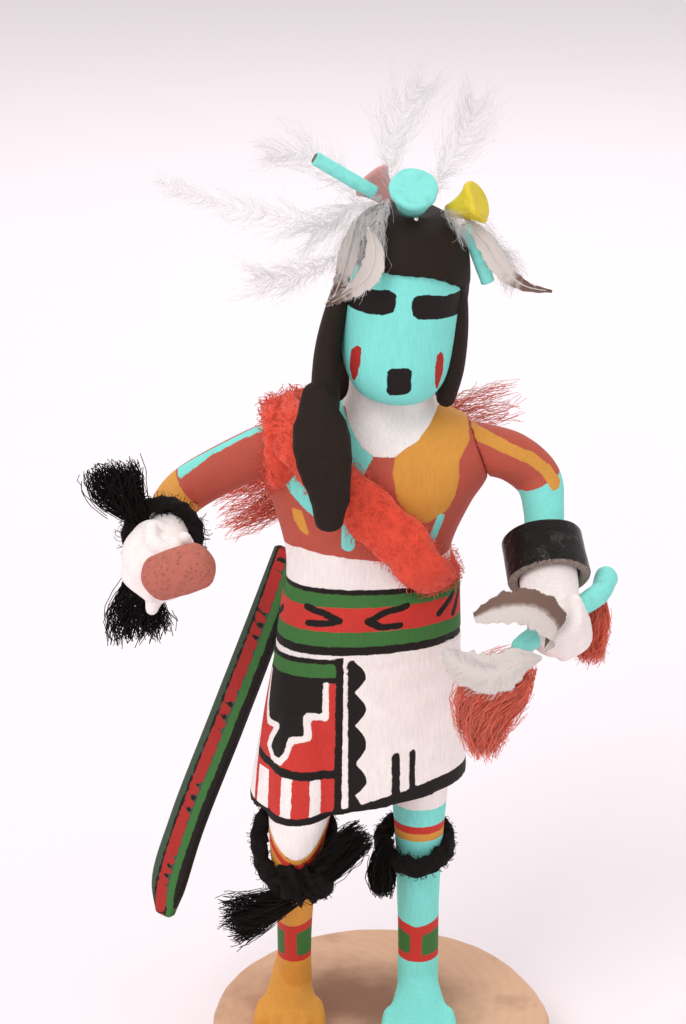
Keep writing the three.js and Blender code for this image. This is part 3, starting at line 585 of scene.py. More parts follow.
class Growth(Nodes):
    """A Geometry Nodes tree with named inputs."""

    def __init__(self, name, inputs):
        group = bpy.data.node_groups.new(name, "GeometryNodeTree")
        super().__init__(group)
        group.interface.new_socket(name="Geometry", in_out="OUTPUT", socket_type="NodeSocketGeometry")
        group.interface.new_socket(name="Geometry", in_out="INPUT", socket_type="NodeSocketGeometry")
        self.keys = {}
        for key, kind in inputs.items():
            made_socket = group.interface.new_socket(name=key, in_out="INPUT", socket_type="NodeSocket" + kind)
            self.keys[key] = made_socket.identifier
        self.entry = group.nodes.new("NodeGroupInput")

    def __getitem__(self, key):
        return Socket(self, self.entry.outputs[key])

    def finish(self, geometry):
        """Realizes the instances, sets the material and ends the tree."""
        real = self.node("GeometryNodeRealizeInstances", {}, {0: geometry})
        dressed = self.node("GeometryNodeSetMaterial", {}, {"Geometry": real, "Material": self["Material"]})
        ending = self.tree.nodes.new("NodeGroupOutput")
        self.tree.links.new(dressed.link, ending.inputs[0])
        return self

    def grow(self, piece, name, **values):
        """Puts the tree on an object and keeps its result as a plain mesh."""
        modifier = piece.modifiers.new(self.tree.name, "NODES")
        modifier.node_group = self.tree
        for key, value in values.items():
            modifier[self.keys[key]] = value
        return settled(piece, name)


@functools.cache
def wool_tree():
    """Short bent fibres scattered over a surface and leaning every way."""
    inputs = {"Material": "Material", "Seed": "Int", **dict.fromkeys(("Count", "Length", "Radius", "Lean"), "Float")}
    tree = Growth("Wool fuzz", inputs)
    scatter = {"Mesh": tree["Geometry"], "Density": tree["Count"], "Seed": tree["Seed"]}
    points = tree.node("GeometryNodeDistributePointsOnFaces", {"distribute_method": "RANDOM"}, scatter)
    bend = {"Resolution": 2, "Start": (0, 0, -0.1), "Middle": (0.7, 0.0, 0.4), "End": (0.1, 0.45, 1.0)}
    line = tree.node("GeometryNodeCurveQuadraticBezier", {}, bend)
    thin = tree["Radius"] / tree["Length"]
    ring = tree.node("GeometryNodeCurvePrimitiveCircle", {}, {"Resolution": 3, "Radius": thin})
    fibre = tree.node("GeometryNodeCurveToMesh", {}, {"Curve": line, "Profile Curve": ring, "Fill Caps": True})
    most = tree.node("ShaderNodeCombineXYZ", {}, {0: tree["Lean"], 1: tree["Lean"], 2: math.pi})
    least = tree.vector("SCALE", most, Scale=-1.0)
    limits = {0: least, 1: most, "Seed": tree["Seed"]}
    lean = tree.node("FunctionNodeRandomValue", {"data_type": "FLOAT_VECTOR"}, limits)
    turn = {"Rotation": points.output("Rotation"), "Rotate By": lean}
    turned_about = tree.node("FunctionNodeRotateRotation", {"rotation_space": "LOCAL"}, turn)
    share = tree.node("FunctionNodeRandomValue", {"data_type": "FLOAT"}, {2: 0.45, 3: 1.25, "Seed": 3}, output=1)
    laid = {"Points": points, "Instance": fibre, "Rotation": turned_about, "Scale": share * tree["Length"]}
    return tree.finish(tree.node("GeometryNodeInstanceOnPoints", {}, laid))


@functools.cache
def strand_tree():
    """Guide lines as fine tapered strands, frizzed by noise towards their tips."""
    inputs = {"Material": "Material", "Radius": "Float", "Frizz": "Float", "Wave": "Float", "Seed": "Float"}
    tree = Growth("Strands", inputs)
    curve = tree.node("GeometryNodeMeshToCurve", {}, {"Mesh": tree["Geometry"]})
    share = tree.node("GeometryNodeSplineParameter").output("Factor")
    lot = tree.node("GeometryNodeInputNamedAttribute", {"data_type": "FLOAT"}, {"Name": "strand"})
    place = tree.node("GeometryNodeInputPosition")
    scaled = tree.vector("SCALE", place, Scale=1 / tree["Wave"])
    noise = {"Vector": scaled, "W": lot * 40.0 + tree["Seed"], "Scale": 1.0, "Detail": 1.0}
    wind = tree.node("ShaderNodeTexNoise", {"noise_dimensions": "4D"}, noise).output("Color")
    level = tree.vector("SUBTRACT", wind, (0.5, 0.5, 0.5))
    offset = tree.vector("SCALE", level, Scale=share * tree["Frizz"] * 4.0)
    frizzed = tree.node("GeometryNodeSetPosition", {}, {"Geometry": curve, "Offset": offset})
    thinned = tree.node("GeometryNodeSetCurveRadius", {}, {"Curve": frizzed, "Radius": 1 - share * 0.55})
    ring = tree.node("GeometryNodeCurvePrimitiveCircle", {}, {"Resolution": 3, "Radius": tree["Radius"]})
    swept = {"Curve": thinned, "Profile Curve": ring, "Fill Caps": True}
    return tree.finish(tree.node("GeometryNodeCurveToMesh", {}, swept))


def fuzz(core, name, finish, lean=1.2, length=1.0, count=1.0):
    """Short fibres over a copy of a woollen core."""
    sizes = bpy.context.scene.doll_sizes
    copy = bpy.data.objects.new(name, core.data.copy())
    bpy.context.scene.collection.objects.link(copy)
    return wool_tree().grow(
        copy,
        name,
        Material=finish,
        Count=sizes.fuzz_count * count * 1e6,
        Length=sizes.fuzz_length * length,
        Radius=sizes.fibre,
        Lean=lean,
        Seed=sizes.seed,
    )


def strands(name, guides, finish, radius, frizz, wave):
    """Guide lines, each a row of points, as fine strands."""
    corners, edges, lots, passed = [], [], [], 0
    rng = np.random.default_rng(len(name))
    for lines in guides:
        count, steps = lines.shape[:2]
        index = passed + np.arange(count * steps).reshape(count, steps)
        corners.append(lines.reshape(-1, 3))
        edges += np.stack([index[:, :-1], index[:, 1:]], -1).reshape(-1, 2).tolist()
        lots.append(np.repeat(rng.uniform(0, 1, count), steps))
        passed += count * steps
    piece = made(name, (np.vstack(corners), []), finish, edges)
    layer(piece.data, "strand", np.concatenate(lots))
    seed = bpy.context.scene.doll_sizes.seed
    return strand_tree().grow(
        piece, name, Material=finish, Radius=radius, Frizz=frizz / 1000, Wave=wave / 1000, Seed=float(seed)
    )


def hank(points, wide, thick, side, count, steps, seed, start=(0.0, 0.3), end=(0.75, 1.0), hollow=0.2, twist=0.0):
    """Guide lines that fill a tuft of loose wool, from near its root to near its end."""
    rows = spread(columns(points, wide, thick), 80)
    flat, across, _ = crossways(rows[:, :3], side)
    rng = np.random.default_rng(seed)
    angle = rng.uniform(0, 2 * math.pi, (count, 1))
    depth = np.sqrt(rng.uniform(hollow, 1.0, (count, 1)))
    share = np.linspace(0, 1, steps)[None, :]
    first, last = rng.uniform(*start, (count, 1)), rng.uniform(*end, (count, 1))
    run = (first + (last - first) * share) * (len(rows) - 1)
    low = np.clip(run.astype(int), 0, len(rows) - 2)
    part = (run - low)[..., None]
    every = np.column_stack([rows, flat, across])
    here = every[low] * (1 - part) + every[low + 1] * part
    turn = angle + twist * share
    out = (here[..., 3] * depth * np.cos(turn))[..., None] * here[..., 5:8]
    up = (here[..., 4] * depth * np.sin(turn))[..., None] * here[..., 8:11]
    return here[..., :3] + out + up


def barbs(points, wide, side, count, steps, seed, start=0.08, sweep=0.55, lift=0.25, uneven=0.35, curl=0.0):
    """Guide lines for a plume's barbs, from both sides of its shaft and curving towards its tip."""
    rows = spread(columns(points, wide), 120)
    flat, across, ahead = crossways(rows[:, :3], side)
    rng = np.random.default_rng(seed)
    place = np.sort(rng.uniform(start, 0.985, count))
    low = (place * (len(rows) - 1)).astype(int)
    hand = np.where(np.arange(count) % 2 == 0, 1.0, -1.0)[:, None]
    reach = (rows[low, 3] * rng.uniform(1 - uneven, 1 + uneven * 0.3, count))[:, None]
    tilt = rng.normal(0, lift, (count, 1))
    out = unit(flat[low] * hand + across[low] * tilt)
    share = np.linspace(0, 1, steps)[None, :, None]
    tuft = 1 + curl * (0.5 * np.sin(place * 23 + seed) + 0.35 * np.sin(place * 61 + 2 * seed))
    reach = reach * np.maximum(tuft, 0.25)[:, None]
    bend = np.clip(sweep + 0.5 * place[:, None, None] + curl * rng.normal(0, 0.4, (count, 1, 1)), 0, 1.15)
    sideways = out[:, None, :] * reach[:, None, :] * (share - (0.18 + 0.3 * curl) * share**2) * 1.1
    onwards = ahead[low][:, None, :] * reach[:, None, :] * bend * share**1.3 * 1.2
    droop = across[low][:, None, :] * reach[:, None, :] * curl * rng.normal(0, 0.35, (count, 1, 1)) * share**2
    return rows[low, :3][:, None, :] + sideways + onwards + droop


# Finishes


def painted(name, coats, ground, grain=(1.0, 1.0, 0.12), gloss=0.66, wobble=0.5, tints=None, shine=0.25, streak=0.3):
    """Hand-brushed paint over carved wood. Each coat is named for the attribute that says where it lies."""
    finish = Finish(name, Specular_IOR_Level=shine)
    edge = (finish.noise(1.6, 2.0) - 0.5) * wobble + (finish.noise(0.35, 1.0) - 0.5) * 0.22
    colour = opaque(getattr(finish.colours, ground))
    thick = None
    for number, coat in enumerate(coats):
        inside = finish.attribute(coat) + edge * (1.0 if number % 2 else -1.0)
        mask = inside.step(-0.14, 0.06)
        colour = finish.mix(mask, colour, getattr(finish.colours, (tints or {}).get(coat, coat)))
        rim = inside.step(-0.1, 0.35)
        thick = rim if thick is None else thick.most(rim)
    grained = finish.stretched(*grain)
    streaks = finish.noise(0.55, 4.0, 0.6, grained)
    blotches = finish.noise(5.0, 2.0)
    specks = (finish.noise(0.5, 2.0, 0.5) > 0.745) * 0.25
    colour = finish.shade(colour, 0.95 - streak / 2 + streaks * streak + (blotches - 0.5) * 0.14 + specks * 0.4)
    finish["Base Color"] = colour
    finish["Roughness"] = gloss + (streaks - 0.5) * 0.25
    height = streaks * 0.5 + finish.noise(0.25, 3.0) * 0.25 + (thick * 0.25 if thick is not None else 0.0)
    finish.relief(height, 0.3, 0.8)
    return finish.material


def plain_paint(name, colour, gloss=0.55, chips=0.7, size=1.0):
    """One paint over wood that shows through in a few worn spots."""
    finish = Finish(name)
    streaks = finish.noise(0.6 * size, 4.0, 0.6, finish.stretched(1.0, 0.5, 1.0))
    worn = finish.noise(1.1 * size, 5.0, 0.65).step(chips, chips + 0.03)
    body = finish.shade(getattr(finish.colours, colour), 0.86 + streaks * 0.26)
    dark = finish.mix(finish.noise(2.4, 3.0).step(0.5, 0.75, 0.0, 0.35), body, finish.shade(body, 0.6))
    finish["Base Color"] = finish.mix(worn, dark, finish.colours.bare_wood)
    finish["Roughness"] = gloss + streaks * 0.15
    finish.relief(streaks * 0.6 + finish.noise(0.2, 3.0) * 0.3 - worn * 0.3, 0.25, 0.8)
    return finish.material


def clay_finish():
    """Dull earthen paint with pits, which are painted darker as shade."""
    finish = Finish("Clay paint")
    pits = finish.spots(1.1).step(0.1, 0.3)
    mottle = finish.noise(1.4, 4.0, 0.6)
    colour = finish.shade(finish.colours.clay, 0.66 + mottle * 0.6)
    # The pits are painted darker: painted shade in the hollows.
    finish["Base Color"] = finish.shade(colour, 0.72 + pits * 0.28)
    finish["Roughness"] = 0.78 + mottle * 0.14
    finish.relief(pits * 0.6 + finish.noise(0.3, 3.0) * 0.4, 0.3, 0.8)
    return finish.material


def log_finish():
    """Sanded end grain of a log slice: faint rings, fibre and stains, painted shade between the feet, and darker
    saw-cut sides.
    """
    finish = Finish("Bare wood")
    off = finish.vector("ADD", finish.place, (9.0, -14.0, 0.0))
    warp = finish.noise(26.0, 2.0).output("Color")
    bent = finish.vector("ADD", off, finish.vector("SCALE", warp, Scale=9.0))
    flat = finish.vector("MULTIPLY", bent, (1.0, 1.0, 0.0))
    radius = finish.vector("LENGTH", flat).output("Value")
    rings = ((radius * 1.9 + finish.noise(7.0, 2.0) * 5.0).sine() * 0.5 + 0.5) ** 2.0
    fibre = finish.noise(0.5, 4.0, 0.65, finish.stretched(0.35, 1.6, 1.0))
    # Darker towards a point between the feet: painted shade under the figure, joined with stains at random.
    from_middle = finish.vector("MULTIPLY", finish.vector("ADD", finish.place, (6.0, -8.0, 0.0)), (0.6, 1.0, 0.0))
    reach = finish.vector("LENGTH", from_middle).output("Value") + (finish.noise(9.0, 3.0) - 0.5) * 14.0
    stain_and_shade = finish.noise(14.0, 3.0, 0.6).step(0.52, 0.72, 0.0, 0.3).most(reach.step(4.0, 24.0, 0.95, 0.0))
    colour = finish.mix(rings * 0.1, finish.colours.bare_wood, linear(182, 138, 108))
    colour = finish.mix(stain_and_shade, colour, linear(134, 86, 62))
    height = finish.node("ShaderNodeSeparateXYZ", {}, {0: finish.place}).output("Z")
    side = 1 - height.step(SLICE_TOP - 1.6, SLICE_TOP - 0.5)
    saw = finish.noise(0.6, 4.0, 0.65, finish.stretched(1.2, 1.2, 0.25))
    colour = finish.mix(side * 0.55, colour, linear(168, 122, 92))
    finish["Base Color"] = finish.shade(colour, 0.86 + fibre * 0.14 + saw * 0.12)
    finish["Roughness"] = 0.62 + fibre * 0.2
    finish.relief(fibre * 0.5 + rings * 0.2 + saw * side * 0.5, 0.3, 0.6)
    return finish.material


def leather_finish():
    """Black leather with a crackled shine, lighter speckles painted in as highlights, and the grey fluff of its cut
    edges.
    """
    finish = Finish("Black leather", Specular_IOR_Level=0.16, Coat_Roughness=0.12)
    crack = finish.spots(0.5, feature="DISTANCE_TO_EDGE").step(0.0, 0.12)
    grain = finish.noise(0.35, 3.0, 0.6)
    raw = finish.attribute("raw") + (finish.noise(0.5, 3.0) - 0.5) * 0.7
    fluff = raw.step(-0.1, 0.25)
    nap = finish.noise(0.25, 3.0, 0.7)
    edge = finish.mix(nap.step(0.35, 0.65), linear(96, 82, 76), linear(178, 162, 152))
    lit = finish.noise(2.6, 2.0, place=finish.stretched(1.0, 1.0, 0.3)).step(0.5, 0.64)
    speckle = lit * finish.noise(0.3, 3.0, 0.6).step(0.5, 0.62)
    # The shiny speckles are also painted lighter in the colour: painted highlights.
    painted_highlights = finish.mix(speckle * 0.3, finish.colours.leather, linear(120, 112, 110))
    finish["Base Color"] = finish.mix(fluff, painted_highlights, edge)
    finish["Coat Weight"] = (speckle * 0.9 + lit * 0.15) * (1 - fluff)
    finish["Roughness"] = (0.14 + grain * 0.2) * (1 - fluff) + fluff * 0.95
    finish.relief(crack * 0.5 * (1 - fluff) + grain * 0.3 + nap * fluff, 0.22, 0.8)
    return finish.material


def wool_finish(name, colour, deep, sheen=0.25):
    """Wool: each fibre a little lighter or darker than the next, dull all over."""
    finish = Finish(name, Sheen_Weight=sheen, Sheen_Roughness=0.5, Specular_IOR_Level=0.25)
    fine = finish.noise(0.28, 3.0, 0.7)
    broad = finish.noise(2.6, 3.0, 0.6)
    plain = getattr(finish.colours, colour)
    body = finish.mix(fine.step(0.3, 0.7), finish.shade(plain, deep), plain)
    finish["Base Color"] = finish.shade(body, 0.82 + broad * 0.36)
    finish["Roughness"] = 0.85 + fine * 0.12
    finish.relief(fine * 0.7 + broad * 0.3, 0.4, 0.9)
    return finish.material


def down_finish():
    """White down, faintly grey where it bunches."""
    finish = Finish("White down", Specular_IOR_Level=0.1, Alpha=0.62)
    tone = finish.noise(3.0, 3.0, 0.6)
    finish["Base Color"] = finish.shade(finish.colours.down, 0.9 + tone * 0.14)
    finish["Roughness"] = 0.8 + tone * 0.15
    finish.relief(finish.noise(0.3, 2.0), 0.05, 0.5)
    return finish.material


def vane_finish(name, tip_start, edge_dark):
    """A feather's vane: fine slanted barbs, pale at the quill and brown towards the tip or one edge."""
    finish = Finish(name, Specular_IOR_Level=0.3)
    along, across = finish.attribute("along"), finish.attribute("across")
    slant = along * 300.0 - across.size() * 44.0 + finish.noise(2.0, 2.0) * 3.0
    lines = slant.sine() * 0.5 + 0.5
    patchy = (finish.noise(1.6, 3.0) - 0.5) * 0.35
    brown = (along + patchy).step(tip_start, tip_start + 0.2).most((across + patchy).step(edge_dark, edge_dark + 0.5))
    colour = finish.mix(brown, finish.colours.feather, finish.colours.feather_tip)
    finish["Base Color"] = finish.shade(colour, 0.9 + lines * 0.14)
    finish["Roughness"] = 0.6 + lines * 0.2
    split = (across.size() + (slant * 0.13).sine() * 0.05 + (finish.noise(0.6, 2.0) - 0.5) * 0.25).step(0.86, 0.97)
    finish["Alpha"] = 1 - split
    finish.relief(lines, 0.05, 0.6)
    return finish.material


def steel_finish():
    """The pin's bright steel, with fine scratches."""
    finish = Finish("Pin steel", Metallic=1.0)
    scratch = finish.noise(0.12, 3.0, 0.7, finish.stretched(1.0, 6.0, 1.0))
    finish["Base Color"] = finish.shade(linear(220, 214, 200), 0.85 + scratch * 0.2)
    finish["Roughness"] = 0.22 + scratch * 0.2
    finish.relief(scratch, 0.02, 0.4)
    return finish.material


# The figure's shapes

# Height, middle x and y, half width, half depth and turn.
KILT = (
    (64.5, -5.6, -2.6, 25.4, 15.6, 16),
    (70.0, -5.3, -2.4, 24.8, 15.2, 15),
    (84.0, -4.4, -1.5, 23.0, 13.9, 11),
    (97.0, -3.6, -0.4, 21.2, 12.4, 7),
)
KILT_DEPTH_SHARE = 0.605  # how deep the kilt is for its width
# The kilt's rolled top, then the belt.
WAIST = (
    (97.2, -3.6, -0.4, 20.6, 11.9, 7),
    (98.0, -3.6, -0.4, 21.3, 12.7, 7),
    (99.4, -3.5, -0.4, 21.2, 12.7, 7),
    (100.2, -3.5, -0.4, 20.3, 11.8, 7),
    (100.9, -3.4, -0.4, 21.0, 12.6, 6),
    (112.4, -2.8, 0.0, 20.0, 11.9, 4),
    (113.3, -2.8, 0.0, 19.6, 11.5, 4),
    (114.0, -2.8, 0.0, 18.6, 10.6, 4),
)
TRUNK = (
    (98.0, -3.2, 0.3, 18.0, 10.4, 0),
    (112.0, -2.9, 0.3, 19.0, 11.0, 0),
    (121.0, -3.5, 0.3, 18.4, 10.9, 0),
    (132.5, -2.6, 0.3, 22.0, 12.0, 0),
    (138.5, -2.0, 0.3, 25.0, 12.6, 0),
    (144.0, -1.3, 0.3, 25.0, 12.3, 0),
    (148.6, -0.3, 0.3, 22.0, 11.0, 0),
    (151.4, 0.5, 0.3, 18.0, 9.6, 0),
    (153.4, 0.9, 0.3, 14.0, 8.6, 0),
    (156.4, 1.3, 0.3, 9.9, 8.0, 0),
    (166.0, 2.2, 0.3, 9.8, 8.4, 0),
)
# The glued joints of the arms: a point and a direction out of the trunk.
JOINTS = {"left": ((20.6, 0, 145.5), (0.94, 0, 0.34)), "right": ((-22.8, 0, 145.5), (-0.94, 0, 0.34))}
STANDING_LEG = {
    "line": ((8.2, -2.5, 80), (8.5, -2.5, 64), (8.6, -2.2, 50), (8.6, -0.5, 34), (8.8, 0.5, 20), (8.8, 1, 8)),
    "wide": (8, 6.7, 5.6, 5, 4.8, 4.9),
    "thick": (8.5, 6.9, 5.6, 5.2, 5, 5.2),
    "foot": (8.9, 8.0, -15.5, 9.2),
}
STEPPING_LEG = {
    "line": ((-16.5, -7, 84), (-18.5, -13.5, 66), (-19.6, -15.6, 56), (-20.2, -10.5, 38), (-20.6, -2.5, 20),
             (-20.6, 3, 8)),
    "wide": (8.2, 7.4, 6.2, 4.4, 4, 4.1),
    "thick": (8.5, 7.8, 6.4, 4.6, 4.2, 4.6),
    "foot": (-21.8, 10.5, -9.5, 8.6),
}
# Share of the foot's length, of its half width, and height there.
FOOT = ((0, 0.42, 9), (0.08, 0.54, 15), (0.25, 0.58, 18), (0.45, 0.72, 14.5), (0.7, 0.96, 8.6), (0.9, 1.04, 6))
# Height, half width, half depth, and how far the middle is forward.
MASK = (
    (159.6, 4.6, 4.2, 10.5),
    (160.8, 8, 7.6, 8.4),
    (163.4, 10.2, 10.8, 6.4),
    (167, 11.7, 13.2, 4.6),
    (172, 12.6, 14.6, 3.1),
    (179, 12.9, 15, 2.3),
    (186, 12.7, 14.9, 1.9),
    (192, 11.6, 13.8, 1.4),
    (195.2, 8.6, 10.8, 1),
    (197.0, 4.4, 6, 0.6),
)
HAIR = (
    (164, 12.6, 11.5, -1.5),
    (170, 12.9, 13, -0.5),
    (179, 12.9, 14.5, 1.2),
    (186, 12.7, 14.9, 1.9),
    (192, 11.6, 13.8, 1.4),
    (196.5, 9, 11.2, 1),
    (199, 4.8, 6.4, 0.6),
)
# Paint, and an outline across the face and up it: the eyes, the mouth and the cheek marks.
MASK_MARKS = (
    ("black", ((-14.5, 183.6), (-11.5, 184.2), (-7, 185.2), (-3.6, 185.5), (-2.1, 184.6), (-1.9, 182.4),
               (-2.3, 181.0), (-4.5, 180.2), (-7.5, 180.0), (-10.7, 180.2), (-14.5, 181.0))),
    ("black", ((2.4, 184.4), (4.5, 184.4), (7.5, 183.7), (11.4, 183.3), (15, 183.5), (15, 178.2),
               (11.7, 178.4), (7.0, 178.9), (3.2, 179.3), (1.9, 180.2), (1.4, 182.0), (1.6, 183.6))),
    ("black", ((-2.3, 168.3), (-1.5, 168.8), (1.9, 168.9), (2.8, 168.2), (3.1, 163.8), (2.4, 162.9),
               (-1.2, 162.6), (-2.0, 163.4))),
    ("red", ((-10.0, 171.4), (-9.2, 172.7), (-8.2, 172.5), (-8.1, 169), (-8.6, 165.4), (-9.1, 164.4),
             (-9.9, 166.4), (-10.3, 169))),
    ("red", ((7.9, 170.8), (8.7, 171.4), (9.4, 170.6), (9.7, 167), (9.4, 164.6), (8.9, 162.6),
             (8.5, 163.4), (7.9, 167))),
)
HAIR_DEPTH = 1.3  # how far the hair stands out from the mask
CUT_DEPTH = 3.2  # how far the hair's skin goes in where the face is open
FRINGE_HEIGHT = 188.4
FACE_FRONT = -2.0  # the hair is open in front of this y


def held_back(rings, point, out):
    """Points beyond a plane are laid flat on it."""
    rings = np.array(rings, float)
    out = unit(out)
    beyond = np.maximum((rings - np.asarray(point, float)) @ out, 0)
    return rings - beyond[..., None] * out


def leg_shapes(leg):
    """A leg with its foot and toes, cut flat at the sole."""
    x, heel, toe, wide = leg["foot"]
    shapes = [limb(leg["line"], leg["wide"], leg["thick"], steps=110, around=64, dome=(0, 0))]
    rows = spread(np.array(FOOT) * (20, 10, 1), 40) / (20, 10, 1)
    cos, sin = oval(48)
    rings = []
    for share, width, height in rows:
        y = heel + (toe - heel) * share
        rings.append(np.column_stack([x + cos * wide * width, np.full(len(cos), y), sin * height]))
    shapes.append(skin(rings))
    for place in np.linspace(-1, 1, 5):
        across = x + place * wide * 0.78
        reach = toe + place**2 * 2.2 + 2.2
        radius = wide * 0.235
        root = (x + (across - x) * 0.9, heel + (toe - heel) * 0.62, 3.6)
        shapes.append(limb([root, (across, reach, 2.2)], radius, [radius * 1.7, radius * 1.3], steps=8, around=24))
    return [(np.maximum(corners, (-1e3, -1e3, 0.0)), faces) for corners, faces in shapes]


def kilt_measure(at):
    """Distance round the kilt from its front, and height with its slope taken out."""
    above = ((99.0, -3.5, -0.4, 20.6, 12.0, 7), (113.0, -2.8, 0.0, 19.6, 11.6, 4), (125.0, -3.4, 0.2, 18.6, 10.9, 0))
    table = np.array(KILT + above)
    height = at[:, 2].copy()
    for _ in range(3):
        middle = [np.interp(height, table[:, 0], table[:, i]) for i in range(1, 6)]
        height = at[:, 2] - WAIST_SLOPE * (at[:, 0] - middle[0])
    x, y, wide, deep, turn = middle
    angle = np.radians(turn)
    dx, dy = at[:, 0] - x, at[:, 1] - y
    local_x = dx * np.cos(angle) + dy * np.sin(angle)
    local_y = -dx * np.sin(angle) + dy * np.cos(angle)
    swing = np.arctan2(
        np.sign(local_x) * np.abs(local_x / wide) ** (KILT_POWER / 2),
        -np.sign(local_y) * np.abs(local_y / deep) ** (KILT_POWER / 2),
    )
    half = 360  # steps from the back round to the front
    fine = np.linspace(-math.pi, math.pi, 2 * half + 1)
    ring_x = np.sign(np.sin(fine)) * np.abs(np.sin(fine)) ** (2 / KILT_POWER)
    ring_y = -np.sign(np.cos(fine)) * np.abs(np.cos(fine)) ** (2 / KILT_POWER) * KILT_DEPTH_SHARE
    run = np.concatenate([[0], np.cumsum(np.hypot(np.diff(ring_x), np.diff(ring_y)))])
    run -= run[half]
    return np.interp(swing, fine, run) * wide, height


def paint_belt(coat, round_way, height):
    """Green, red and green bands between black lines, with open arrow marks."""
    half_way = 52.0
    folded = np.sign(round_way) * np.minimum(np.abs(round_way), np.maximum(half_way - np.abs(round_way), 0))
    level = height + 0.045 * folded
    for paint, low, high in (
        ("black", 100.75, 115.4),
        ("green", 102.7, 114.3),
        ("red", 106.1, 111.75),
    ):
        coat.brush(paint, band(level, low, high))
    for points in (
        [(-15.4, 112.0), (-11.2, 110.9), (-7.7, 109.1), (-10.5, 108.5), (-14.9, 108.4)],
        [(7.0, 111.2), (2.2, 110.4), (-1.6, 108.6), (1.2, 107.0), (5.4, 106.9)],
        [(14.6, 107.6), (19.0, 111.0)],
        [(19.1, 106.4), (21.8, 110.6)],
        [(-27.0, 107.4), (-23.4, 110.0)],
    ):
        coat.brush("black", stroke(round_way, height, points, 1.45))


def paint_kilt(coat, round_way, height):
    """The painted panel on the right, the toothed strip beside it, two bars and the hem."""
    s, h = round_way, height
    kilt = 100.4 - h
    panel = np.minimum(kilt, band(s, -31.4 + (97 - h) * 0.01, -8.0 - (97 - h) * 0.04))
    coat.brush("red", np.minimum(panel, 95.2 - h))
    coat.brush("black", np.minimum(panel, band(h, 94.6, 100.2)))
    coat.brush("green", np.minimum(panel, band(h, 95.9, 99.2)))
    cloud = [(-10.9, 95), (-11.2, 87.2), (-14.9, 87.6), (-14.7, 83), (-18.2, 82.4), (-19.2, 79.2), (-20.8, 77.4),
             (-24.0, 77.2), (-25.8, 79.4), (-24.6, 82.0), (-22.8, 84.4), (-26.8, 84.4), (-28.0, 87.8), (-28.4, 95)]
    coat.brush("black", np.minimum(panel, patch(s, h, cloud)))
    coat.brush("white", np.minimum(95.0 - h, stroke(s, h, cloud, 1.5)))
    coat.brush("white", np.minimum(74.4 - h, panel))
    drift = (74 - h) * 0.04
    for low, high in ((-31.2, -29.6), (-25.4, -20.2), (-17.4, -14.1), (-12.4, -8.0)):
        coat.brush("red", np.minimum(np.minimum(panel, 74.6 - h), band(s + drift, low, high)))
    ledge = [(-31.4, 77.0), (-23, 75.6), (-17.9, 75.2), (-9.0, 74.2)]
    coat.brush("black", np.minimum(panel, stroke(s, h, ledge, 1.8)))
    lean = -(97 - h) * 0.048
    coat.brush("black", np.minimum(kilt, band(s, -8.5 + lean, -6.9 + lean)))
    levels = (62, 68.9, 71.8, 76.3, 80.5, 85.0, 88.2, 92.4, 95.6, 99.6)
    turns = np.interp(h, levels, np.arange(len(levels)) * math.pi)
    teeth = -4.6 - (97 - h) * 0.02 + 2.6 * np.abs(np.cos(turns / 2))
    coat.brush("black", np.minimum(np.minimum(kilt, 99.8 - h), band(s, -5.9 + lean * 0.6, teeth)))
    for points, width in (([(4.4, 76.3), (4.3, 66)], 1.9), ([(8.4, 76.5), (8.3, 67)], 1.35)):
        coat.brush("black", stroke(s, h, points, width))
    hem = np.interp(s, (-60, -40, -15.6, -7.7, 4.2, 13.6, 40, 60), (67.2, 66.4, 65.4, 66.0, 67.4, 68.4, 68.2, 67.2))
    coat.brush("black", np.minimum(hem - h, h - 20))


def paint_trunk(coat, x, y, z):
    """The chest: white collar, a turquoise and an ochre shoulder patch, and small marks."""
    front = 4.0 - y
    collar = [(-12, 170), (-9.5, 158), (-7.6, 152.6), (-5.4, 149.1), (-2.6, 146.9), (2.1, 146.7), (4.3, 148.4),
              (7.1, 149.9), (9.6, 152.8), (12.5, 157), (13, 170)]
    right = [(12.4, 157), (9.6, 152.8), (7.1, 149.9), (4.3, 148.4), (2.1, 146.7), (1.7, 143), (2.6, 137.5),
             (4.6, 133.4), (7.5, 131.1), (9.6, 131.2), (11.6, 132.3), (13.8, 133.9), (15.3, 137.3), (16.1, 141.5),
             (16, 144.9), (17.1, 147), (18.4, 149), (18.2, 151.5), (17, 156)]
    left = [(-10.5, 158), (-7.6, 152.6), (-5.4, 149.1), (-2.6, 146.7), (-5.0, 142.6), (-7.4, 137), (-10.5, 132.6),
            (-14.4, 131.6), (-18.0, 134.8), (-20.4, 137.6), (-22.4, 141), (-22, 147), (-20, 153)]
    for paint, outline in (("turquoise", left), ("ochre", right), ("white", collar)):
        coat.brush(paint, np.minimum(patch(x, z, outline), front))
    coat.brush("white", z - 155.5)
    point = [(-20.2, 134.0), (-18.1, 133.6), (-17.2, 130.6), (-16.4, 127.2), (-18.4, 128.6), (-19.8, 131)]
    coat.brush("ochre", np.minimum(front, patch(x, z, point)))
    for points, width in (([(-7.8, 132.5), (-8.0, 126.2)], 2.9), ([(12.3, 132.2), (10.2, 126.0)], 1.6)):
        coat.brush("turquoise", np.minimum(front, stroke(x, z, points, width)))
    waist = np.interp(x, (-23, -18.6, -12, -5.4, 3.4, 10.1, 18), (123.6, 124.2, 123.3, 122.6, 121.7, 121.5, 122.2))
    coat.brush("white", waist - z)


